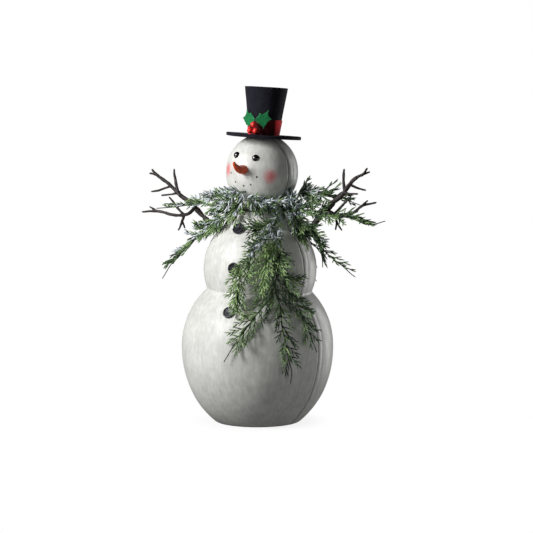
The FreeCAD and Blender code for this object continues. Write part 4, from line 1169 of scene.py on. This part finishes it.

# name: (pale share, light share, [(fraction of length, share of frosted needles)]). The pale and light shares are
# partly painted light: on top of the needles' own mixed tones, sprays on the lit side get more pale and light needles
# and those on the shaded side more dark ones (painted shade).
NONE = [(0, 0.0)]
LOOK = {
    "left_shoulder_frosted_spray": (0.10, 0.30, [(0, 0.62), (0.40, 0.80), (0.60, 0.45), (0.75, 0.05), (1, 0.0)]),
    "chest_frosted_spray": (0.15, 0.40, [(0, 0.55), (0.45, 0.85), (0.85, 0.75), (1, 0.3)]),
    "neck_front_spray": (0.10, 0.35, [(0, 0.5), (0.5, 0.75), (1, 0.8)]),
    "left_hanging_spray": (0.14, 0.50, [(0, 0.35), (0.25, 0.5), (0.38, 0.4), (0.5, 0.03), (1, 0.0)]),
    "left_middle_spray": (0.20, 0.50, [(0, 0.3), (1, 0.55)]),
    "left_fork_spray": (0.22, 0.55, NONE),
    "front_green_spray": (0.40, 0.52, [(0, 0.1), (0.2, 0.0)]),
    "light_green_hanging_spray": (0.72, 0.32, NONE),
    "long_trailing_spray": (0.10, 0.44, NONE),
    "right_fork_spray": (0.03, 0.34, NONE),
    "right_shoulder_spray": (0.06, 0.36, [(0, 0.75), (0.3, 0.45), (0.5, 0.08), (1, 0.0)]),
    "right_outer_spray": (0.08, 0.42, [(0, 0.12), (0.3, 0.0)]),
    "right_hanging_spray": (0.05, 0.36, [(0, 0.05), (0.3, 0.0)]),
    "right_knot_spray": (0.22, 0.44, [(0, 0.9), (0.4, 0.5), (0.6, 0.0)]),
    "short_right_spray": (0.02, 0.28, NONE),
    "chest_short_spray": (0.18, 0.50, NONE),
    "left_neck_green_spray": (0.18, 0.50, [(0, 0.25), (0.4, 0.1)]),
    "rear_neck_spray": (0.05, 0.40, [(0, 0.6), (1, 0.6)]),
}
# more free side fronds: name -> (from, to as fractions of length, how many, (right, up, forward) as seen from the front left, length mm, frost)
BUSH = {
    "left_shoulder_frosted_spray": [(0.0, 0.20, 6, (-0.1, -0.95, 0.35), 24, 0.25), (0.02, 0.5, 11, (-0.75, 0.35, 0.45), 18, 0.9), (0.15, 0.5, 3, (-0.85, -0.3, 0.4), 14, 0.7),
                                    (0.55, 0.8, 5, (-0.95, 0.1, 0.2), 22, 0.1)],
    "neck_front_spray": [(0.7, 1.0, 8, (0.55, 0.7, 0.5), 20, 0.85), (0.0, 0.75, 14, (0.1, -0.97, 0.3), 17, 0.12), (0.0, 1.0, 20, (0.6, 0.1, 0.7), 16, 0.85), (0.1, 0.9, 8, (-0.5, -0.8, 0.5), 20, 0.35)],
    "left_neck_green_spray": [(0.0, 0.5, 4, (-0.5, -0.8, 0.4), 18, 0.15), (0.0, 0.5, 5, (0.6, -0.75, 0.4), 20, 0.1)],
    "left_hanging_spray": [(0.16, 0.40, 12, (0.12, -0.95, 0.35), 25, 0.05), (0.3, 0.5, 5, (-0.7, 0.55, 0.4), 20, 0.35), (0.05, 0.42, 11, (-0.55, -0.8, 0.35), 26, 0.2), (0.1, 0.45, 8, (-0.85, 0.35, 0.45), 20, 0.5), (0.4, 0.85, 9, (-0.35, -0.95, 0.2), 22, 0.0)],
    "left_middle_spray": [(0.1, 0.95, 7, (-0.6, -0.6, 0.5), 19, 0.35), (0.2, 0.9, 3, (-0.7, 0.5, 0.5), 15, 0.5)],
    "right_knot_spray": [(0.0, 0.12, 13, (0.2, 0.92, 0.45), 27, 0.85), (0.0, 0.2, 8, (0.75, 0.6, 0.4), 24, 0.8), (0.0, 0.35, 14, (0.35, 0.5, 0.75), 20, 0.9), (0.0, 0.5, 10, (-0.6, 0.2, 0.75), 20, 0.85), (0.25, 0.95, 14, (0.1, -0.8, 0.65), 26, 0.08), (0.3, 0.9, 9, (0.8, -0.3, 0.55), 26, 0.0),
                         (0.3, 0.8, 7, (-0.7, -0.5, 0.6), 22, 0.1)],
    "right_outer_spray": [(0.0, 0.28, 9, (0.45, -0.75, 0.5), 27, 0.05), (0.0, 0.25, 6, (0.5, 0.7, 0.4), 22, 0.15), (0.3, 0.75, 9, (0.65, -0.72, 0.2), 24, 0.0)],
    "right_hanging_spray": [(0.0, 0.35, 9, (0.1, -0.9, 0.4), 24, 0.0), (0.0, 0.3, 8, (0.7, 0.2, 0.65), 22, 0.05)],
    "right_shoulder_spray": [(0.0, 0.1, 6, (-0.75, -0.2, 0.6), 20, 0.85), (0.0, 0.6, 12, (0.62, 0.78, 0.15), 31, 0.12), (0.0, 0.35, 7, (0.2, 0.75, 0.6), 18, 0.85), (0.1, 0.7, 9, (0.8, -0.55, 0.3), 24, 0.08)],
    "chest_frosted_spray": [(0.05, 0.9, 13, (-0.75, -0.1, 0.6), 19, 0.8), (0.1, 0.9, 10, (0.3, -0.85, 0.5), 18, 0.75)],
    "light_green_hanging_spray": [(0.05, 0.75, 7, (0.05, -0.99, 0.25), 34, 0.0), (0.0, 0.5, 4, (0.55, -0.8, 0.35), 28, 0.0), (0.1, 0.7, 4, (-0.4, -0.9, 0.3), 28, 0.0)],
    "front_green_spray": [(0.1, 0.75, 10, (-0.75, -0.45, 0.45), 27, 0.0), (0.1, 0.9, 9, (0.35, -0.9, 0.35), 26, 0.0)],
    "chest_short_spray": [(0.0, 0.8, 7, (-0.6, 0.55, 0.5), 24, 0.0), (0.1, 0.8, 5, (-0.5, -0.75, 0.5), 22, 0.0)],
    "long_trailing_spray": [(0.0, 0.18, 9, (0.5, -0.7, 0.5), 27, 0.0), (0.05, 0.3, 8, (-0.55, -0.75, 0.4), 27, 0.0)],
    "right_fork_spray": [(0.0, 0.5, 7, (0.8, -0.1, 0.45), 27, 0.0)],
}
LENGTHS = {"light_green_hanging_spray": 1.15, "right_hanging_spray": 0.62, "left_fork_spray": 1.22, "long_trailing_spray": 1.2, "right_fork_spray": 1.2, "left_shoulder_frosted_spray": 0.78, "left_middle_spray": 0.78}
NEAR_ARMS = ("right_outer_spray",)
# length of bare wire at the tip, mm
BARE = {"left_hanging_spray": 40, "left_fork_spray": 40, "long_trailing_spray": 40, "right_fork_spray": 30, "right_outer_spray": 30, "right_hanging_spray": 22, "left_shoulder_frosted_spray": 20}
HEAD_C = np.array([10.1, 0, 457.0])


def body_out(p):
    """Outward direction from the body at a point."""
    z = float(p[2])
    c = np.array([float(axis_x(z)), 0.0, z])
    if z > 420:
        c = HEAD_C
    elif z > 300:
        c = np.array([7.0, 0.0, z - 18.0])
    else:
        c = np.array([float(axis_x(z)), 0.0, z])
    return unit(np.asarray(p, float) - c)


def clear_of_body(P, gap):
    """Moves points that lie inside the skin (plus gap) straight out."""
    P = np.asarray(P, float).copy()
    flat = P.reshape(-1, 3)
    z = np.clip(flat[:, 2], 1, 525)
    x0 = axis_x(z)
    dx, dy = flat[:, 0] - x0, flat[:, 1]
    r = np.maximum(np.hypot(dx, dy), 1e-6)
    need = skin(dx / r, z) + gap
    k = r < need
    s = np.where(k, need / r, 1.0)
    flat[:, 0] = x0 + dx * s
    flat[:, 1] = dy * s
    return flat.reshape(P.shape)


CAM_R, CAM_B = np.array([math.cos(math.radians(33)), math.sin(math.radians(33)), 0]), np.array([math.sin(math.radians(33)), -math.cos(math.radians(33)), 0])


def swept_twig(node_name, mouth, direction, degrees):
    """Centre points and radii of a twig at several turns about its socket."""
    pts = np.array([p for run in TWIGS[node_name] for p in spline([list(q) for q in run], 2.0)])
    out = []
    for deg in degrees:
        t = math.radians(deg)
        v = pts[:, :3] - mouth
        out.append(np.column_stack([v * math.cos(t) + np.cross(direction, v) * math.sin(t) + direction * (v @ direction)[:, None] * (1 - math.cos(t)) + mouth, pts[:, 3]]))
    return np.concatenate(out)


SWEPT = np.concatenate([swept_twig("left_twig_arm", LEFT_MOUTH, LEFT_DIR, (-10, -8, -6, -4)), swept_twig("right_twig_arm", RIGHT_MOUTH, RIGHT_DIR, (-10, -6, 6, 10))])


def near_twig(P, gap):
    """True where a point comes closer to a turned twig than the gap."""
    P = np.asarray(P, float).reshape(-1, 3)
    hit = np.zeros(len(P), bool)
    for k in range(0, len(P), 4000):
        q = P[k : k + 4000]
        hit[k : k + 4000] = np.any(np.linalg.norm(q[:, None] - SWEPT[None, :, :3], axis=2) < SWEPT[None, :, 3] + gap, axis=1)
    return hit


def spray(name, points, seed):
    g = np.random.default_rng(seed)
    pale, light, frost_at = LOOK.get(name, (0.08, 0.30, NONE))
    strand = name == "light_green_hanging_spray"
    main = spline(points, 1.5)
    P, W = clear_of_body(main[:, :3], 1.3), main[:, 3]
    n = len(P)
    s = np.concatenate([[0], np.cumsum(np.linalg.norm(np.diff(P, axis=0), axis=1))])
    total = s[-1]
    T = unit(np.gradient(P, axis=0))
    O = np.array([body_out(p) for p in P])
    O = unit(O - T * np.sum(O * T, -1, keepdims=True))
    S = np.cross(T, O)
    acc = Acc()
    thick = 1.05 + 0.40 * min(1.0, total / 260.0)
    acc.tube(P, np.interp(s, [0, total * 0.7, total], [thick, thick * 0.86, 0.80]), 8, 0)
    A, M, B, R0, R1, MAT = [], [], [], [], [], []
    grains, gr = [], []

    def frost(u):
        return float(np.interp(u / total, [f[0] for f in frost_at], [f[1] for f in frost_at]))

    def tone(frosted):
        if frosted:
            return int(g.choice([5, 6, 1, 2, 3], p=[0.46, 0.26, 0.08, 0.12, 0.08]))
        u = g.random()
        if u < pale:
            return 4
        if u < pale + light:
            return 3
        return 2 if g.random() < 0.62 else 1

    def needle(a, d, length, droop, frosted, fat=1.0, m=None):
        m = tone(frosted) if m is None else m
        b = a + d * length + droop
        k = 1.3 if frosted else 1.0
        A.append(a)
        M.append(a + d * length * 0.5 + droop * 0.15)
        B.append(b)
        R0.append(1.28 * fat * k * g.uniform(0.85, 1.15))
        R1.append(0.98 * fat * k)
        MAT.append(m)
        if frosted and g.random() < 0.8:
            for t in g.uniform(0.1, 1.0, int(g.integers(1, 4))):
                grains.append(a + d * length * t + g.normal(0, 0.7, 3))
                gr.append(g.uniform(0.6, 1.4))

    def shoot(p0, d, bend, out, length, frosted):
        """A side shoot: a thin stalk with needles set alternately along it."""
        k = max(4, int(length / 1.8))
        q = [p0]
        for j in range(k):
            u = j / k
            dd = unit(d * (1 - 0.4 * u) + bend * 0.4 * u + g.normal(0, 0.04, 3))
            q.append(q[-1] + dd * length / k)
        q = clear_of_body(np.array(q), 1.5)
        if name in NEAR_ARMS and near_twig(q, 2.4).any():
            return
        own = tone(False)
        acc.tube(q, np.interp(np.arange(len(q)), [0, len(q) - 1], [0.85, 0.5]), 6, 5 if frosted else (1 if own < 3 else own - 1))
        tq = unit(np.gradient(q, axis=0))
        oq = out[None] - tq * np.sum(out[None] * tq, -1, keepdims=True)
        oq = unit(oq)
        sq = np.cross(tq, oq)
        ls = np.concatenate([[0], np.cumsum(np.linalg.norm(np.diff(q, axis=0), axis=1))])
        u = 3.0
        flip = g.choice([-1, 1])
        while u < ls[-1] - 1.0:
            j = min(int(np.searchsorted(ls, u)), len(q) - 1)
            flip = -flip
            fall = 1.0 - 0.35 * u / ls[-1]
            ang = math.radians(g.normal(31, 5))
            dd = unit(tq[j] * math.cos(ang) + sq[j] * flip * math.sin(ang) + oq[j] * g.normal(0.12, 0.2))
            ln = g.uniform(11.5, 15.5) * fall * min(1.0, 0.55 + length / 45)
            needle(q[j], dd, ln, tq[j] * ln * 0.14, frosted and g.random() < 0.85, m=own if (not frosted and g.random() < 0.65) else None)
            u += g.uniform(4.7, 6.1)
        needle(q[-1], unit(tq[-1] + g.normal(0, 0.08, 3)), g.uniform(7.0, 10.0), np.zeros(3), frosted and g.random() < 0.8, m=None if frosted else own)

    grow = LENGTHS.get(name, 1.0)
    bare = BARE.get(name, 14)
    u = 3.0
    side = 1
    while u < total - 3:
        i = min(int(np.searchsorted(s, u)), n - 2)
        w = W[i]
        if w > 4.4 and total - u > bare:
            side = -side
            near_end = max(0.0, 1 - (total - u) / 75.0)
            ang = math.radians(g.normal(40 - 14 * near_end, 4.5))
            ln = float(np.clip(1.42 * grow * w / math.sin(ang) * g.uniform(0.82, 1.12), 8, 38)) * (1 - 0.55 * near_end)
            fr = g.random() < frost(u)
            d = unit(T[i] * math.cos(ang) + S[i] * side * math.sin(ang) + O[i] * g.normal(0.18, 0.2))
            shoot(P[i], d, unit(T[i] + O[i] * g.normal(0.1, 0.2)), O[i], ln, fr)
            u += g.uniform(7.6, 10.0)
        else:
            # sparse single needles toward the bare tip
            if g.random() < 0.4 and total - u > bare + 4:
                side = -side
                ang = math.radians(26)
                needle(P[i], unit(T[i] * math.cos(ang) + S[i] * side * math.sin(ang)), g.uniform(6, 9), np.zeros(3), False, 0.9)
            u += 5.0
    u = 2.0
    while u < total - 8:
        i = min(int(np.searchsorted(s, u)), n - 1)
        if W[i] > 4.0 and total - u > bare + 6:
            ang = math.radians(g.normal(34, 6))
            sd = g.choice([-1, 1])
            dd = unit(T[i] * math.cos(ang) + S[i] * sd * math.sin(ang) * g.uniform(0.3, 1) + O[i] * g.normal(0.3, 0.25))
            needle(P[i], dd, g.uniform(9, 13), T[i] * 0.8, g.random() < frost(u))
        u += g.uniform(4.5, 6.5)
    for f0, f1, count, (a, b_, c_), ln, fr in BUSH.get(name, []):
        for k in range(count):
            u = total * (f0 + (f1 - f0) * (k + g.uniform(0.1, 0.9)) / count)
            i = min(int(np.searchsorted(s, u)), n - 2)
            d = unit(CAM_R * a + np.array([0, 0, b_]) + CAM_B * c_)
            d = unit(d * 0.75 + T[i] * 0.25 + g.normal(0, 0.26, 3))
            if d.dot(O[i]) < 0.05:
                d = unit(d + O[i] * (0.12 - d.dot(O[i])))
            bend = unit(d + np.array([0, 0, -0.35]) + O[i] * 0.05)
            shoot(P[i] + O[i] * g.uniform(0, 2), d, bend, unit(O[i] + CAM_B * 0.4), ln * g.uniform(0.75, 1.15), g.random() < fr)
    a_, m_, b2 = (clear_of_body(np.array(x), 0.8) for x in (A, M, B))
    R0, R1, MAT = np.array(R0), np.array(R1), np.array(MAT)
    if name in NEAR_ARMS:
        k = ~(near_twig(a_, 2.4) | near_twig(m_, 2.4) | near_twig(b2, 2.4) | near_twig((m_ + b2) / 2, 2.4) | near_twig((a_ + m_) / 2, 2.4))
        a_, m_, b2, R0, R1, MAT = a_[k], m_[k], b2[k], R0[k], R1[k], MAT[k]
        if grains:
            k = ~near_twig(grains, 2.4)
            grains, gr = list(np.array(grains)[k]), list(np.array(gr)[k])
    acc.needles(a_, m_, b2, R0, R1, MAT, 5)
    acc.grains(clear_of_body(np.array(grains), 1.0) if grains else [], np.array(gr), 6)
    o = acc.build(name.replace("_spray", "_sprig"), FOLIAGE)
    return finish_piece(o, "figure", [name])


for k, (name, pts) in enumerate(SPRAYS.items()):
    spray(name, pts, 300 + 17 * k)

# ------------------------------------------------------------------ camera
D, YAW, ZC, PITCH, PAN = 4000.0, math.radians(33.0), 684.0, 0.09964891, 0.00450882
r_ = Vector((math.cos(YAW), math.sin(YAW), 0))
bk = Vector((math.sin(YAW), -math.cos(YAW), 0))
zz = Vector((0, 0, 1))
fwd = r_ * (math.cos(PITCH) * math.sin(PAN)) - bk * (math.cos(PITCH) * math.cos(PAN)) - zz * math.sin(PITCH)
right = r_ * math.cos(PAN) + bk * math.sin(PAN)
up = right.cross(fwd)
cd = bpy.data.cameras.new("view")
cd.sensor_width = 36.0
cd.sensor_fit = "HORIZONTAL"
cd.lens = 2199.7 / 533.0 * 36.0
cd.clip_start = 0.1
cd.clip_end = 50
cam = bpy.data.objects.new("view", cd)
scene.collection.objects.link(cam)
loc = Vector((D * math.sin(YAW) - 2.2, -D * math.cos(YAW), ZC)) * MM
m4 = Matrix((
    (right.x, up.x, -fwd.x, loc.x),
    (right.y, up.y, -fwd.y, loc.y),
    (right.z, up.z, -fwd.z, loc.z),
    (0, 0, 0, 1),
))
cam.matrix_world = m4
scene.camera = cam

# ------------------------------------------------------------------ white ground, background and lights
world = bpy.data.worlds.new("white")
world.use_nodes = True
bg = world.node_tree.nodes["Background"]
bg.inputs["Color"].default_value = (1, 1, 1, 1)
bg.inputs["Strength"].default_value = 1.0
world.cycles_visibility.diffuse = False
world.cycles_visibility.glossy = False
scene.world = world
scene.view_settings.view_transform = "Standard"
scene.view_settings.look = "None"

fm = bpy.data.materials.new("ground")
fm.use_nodes = True
t = fm.node_tree
for x in list(t.nodes):
    t.nodes.remove(x)
out = t.nodes.new("ShaderNodeOutputMaterial")
dif = t.nodes.new("ShaderNodeBsdfDiffuse")
dif.inputs["Color"].default_value = (0.93, 0.93, 0.93, 1)
emi = t.nodes.new("ShaderNodeEmission")
emi.inputs["Color"].default_value = (1, 1, 1, 1)
emi.inputs["Strength"].default_value = 1.0
mixn = t.nodes.new("ShaderNodeMixShader")
co = t.nodes.new("ShaderNodeTexCoord")
ln = t.nodes.new("ShaderNodeVectorMath")
ln.operation = "LENGTH"
mr = t.nodes.new("ShaderNodeMapRange")
mr.interpolation_type = "SMOOTHSTEP"
for s_, v_ in (("From Min", 0.076), ("From Max", 0.14), ("To Min", 0.86), ("To Max", 1.0)):
    mr.inputs[s_].default_value = v_
t.links.new(co.outputs["Object"], ln.inputs[0])
t.links.new(ln.outputs["Value"], mr.inputs["Value"])
t.links.new(mr.outputs[0], mixn.inputs[0])
t.links.new(dif.outputs[0], mixn.inputs[1])
t.links.new(emi.outputs[0], mixn.inputs[2])
t.links.new(mixn.outputs[0], out.inputs[0])
k = 160
R = 20000.0
V = [(0, 0, 0)] + [(R * math.cos(2 * math.pi * i / k), R * math.sin(2 * math.pi * i / k), 0) for i in range(k)]
floor = new_object("ground", V, [np.array([(0, 1 + i, 1 + (i + 1) % k) for i in range(k)])], fm, False)
floor.visible_diffuse = False
floor.visible_glossy = False
floor.visible_shadow = False


def area(name, az, el, dist, size, power, target=(5, 0, 300), color=(1, 1, 1)):
    a, e = math.radians(az), math.radians(el)
    d = Vector((math.sin(a) * math.cos(e), -math.cos(a) * math.cos(e), math.sin(e)))
    ld = bpy.data.lights.new(name, "AREA")
    ld.shape = "RECTANGLE"
    ld.size, ld.size_y = size
    ld.energy = power
    ld.color = color
    o = bpy.data.objects.new(name, ld)
    o.location = Vector(target) * MM + d * dist
    o.rotation_euler = (-d).to_track_quat("-Z", "Y").to_euler()
    scene.collection.objects.link(o)
    return o


lights = [
    area("key", -32, 28, 1.7, (0.5, 0.75), 32),
    area("low", -40, -10, 1.6, (0.5, 0.7), 4.2, (0, 0, 150)),
    area("rim", 160, 0, 2.0, (0.7, 1.4), 15),
    area("fill", 85, -14, 2.2, (1.4, 1.0), 7, (0, 0, 110)),
    area("front", 25, 0, 3.0, (1.5, 1.5), 5),
]
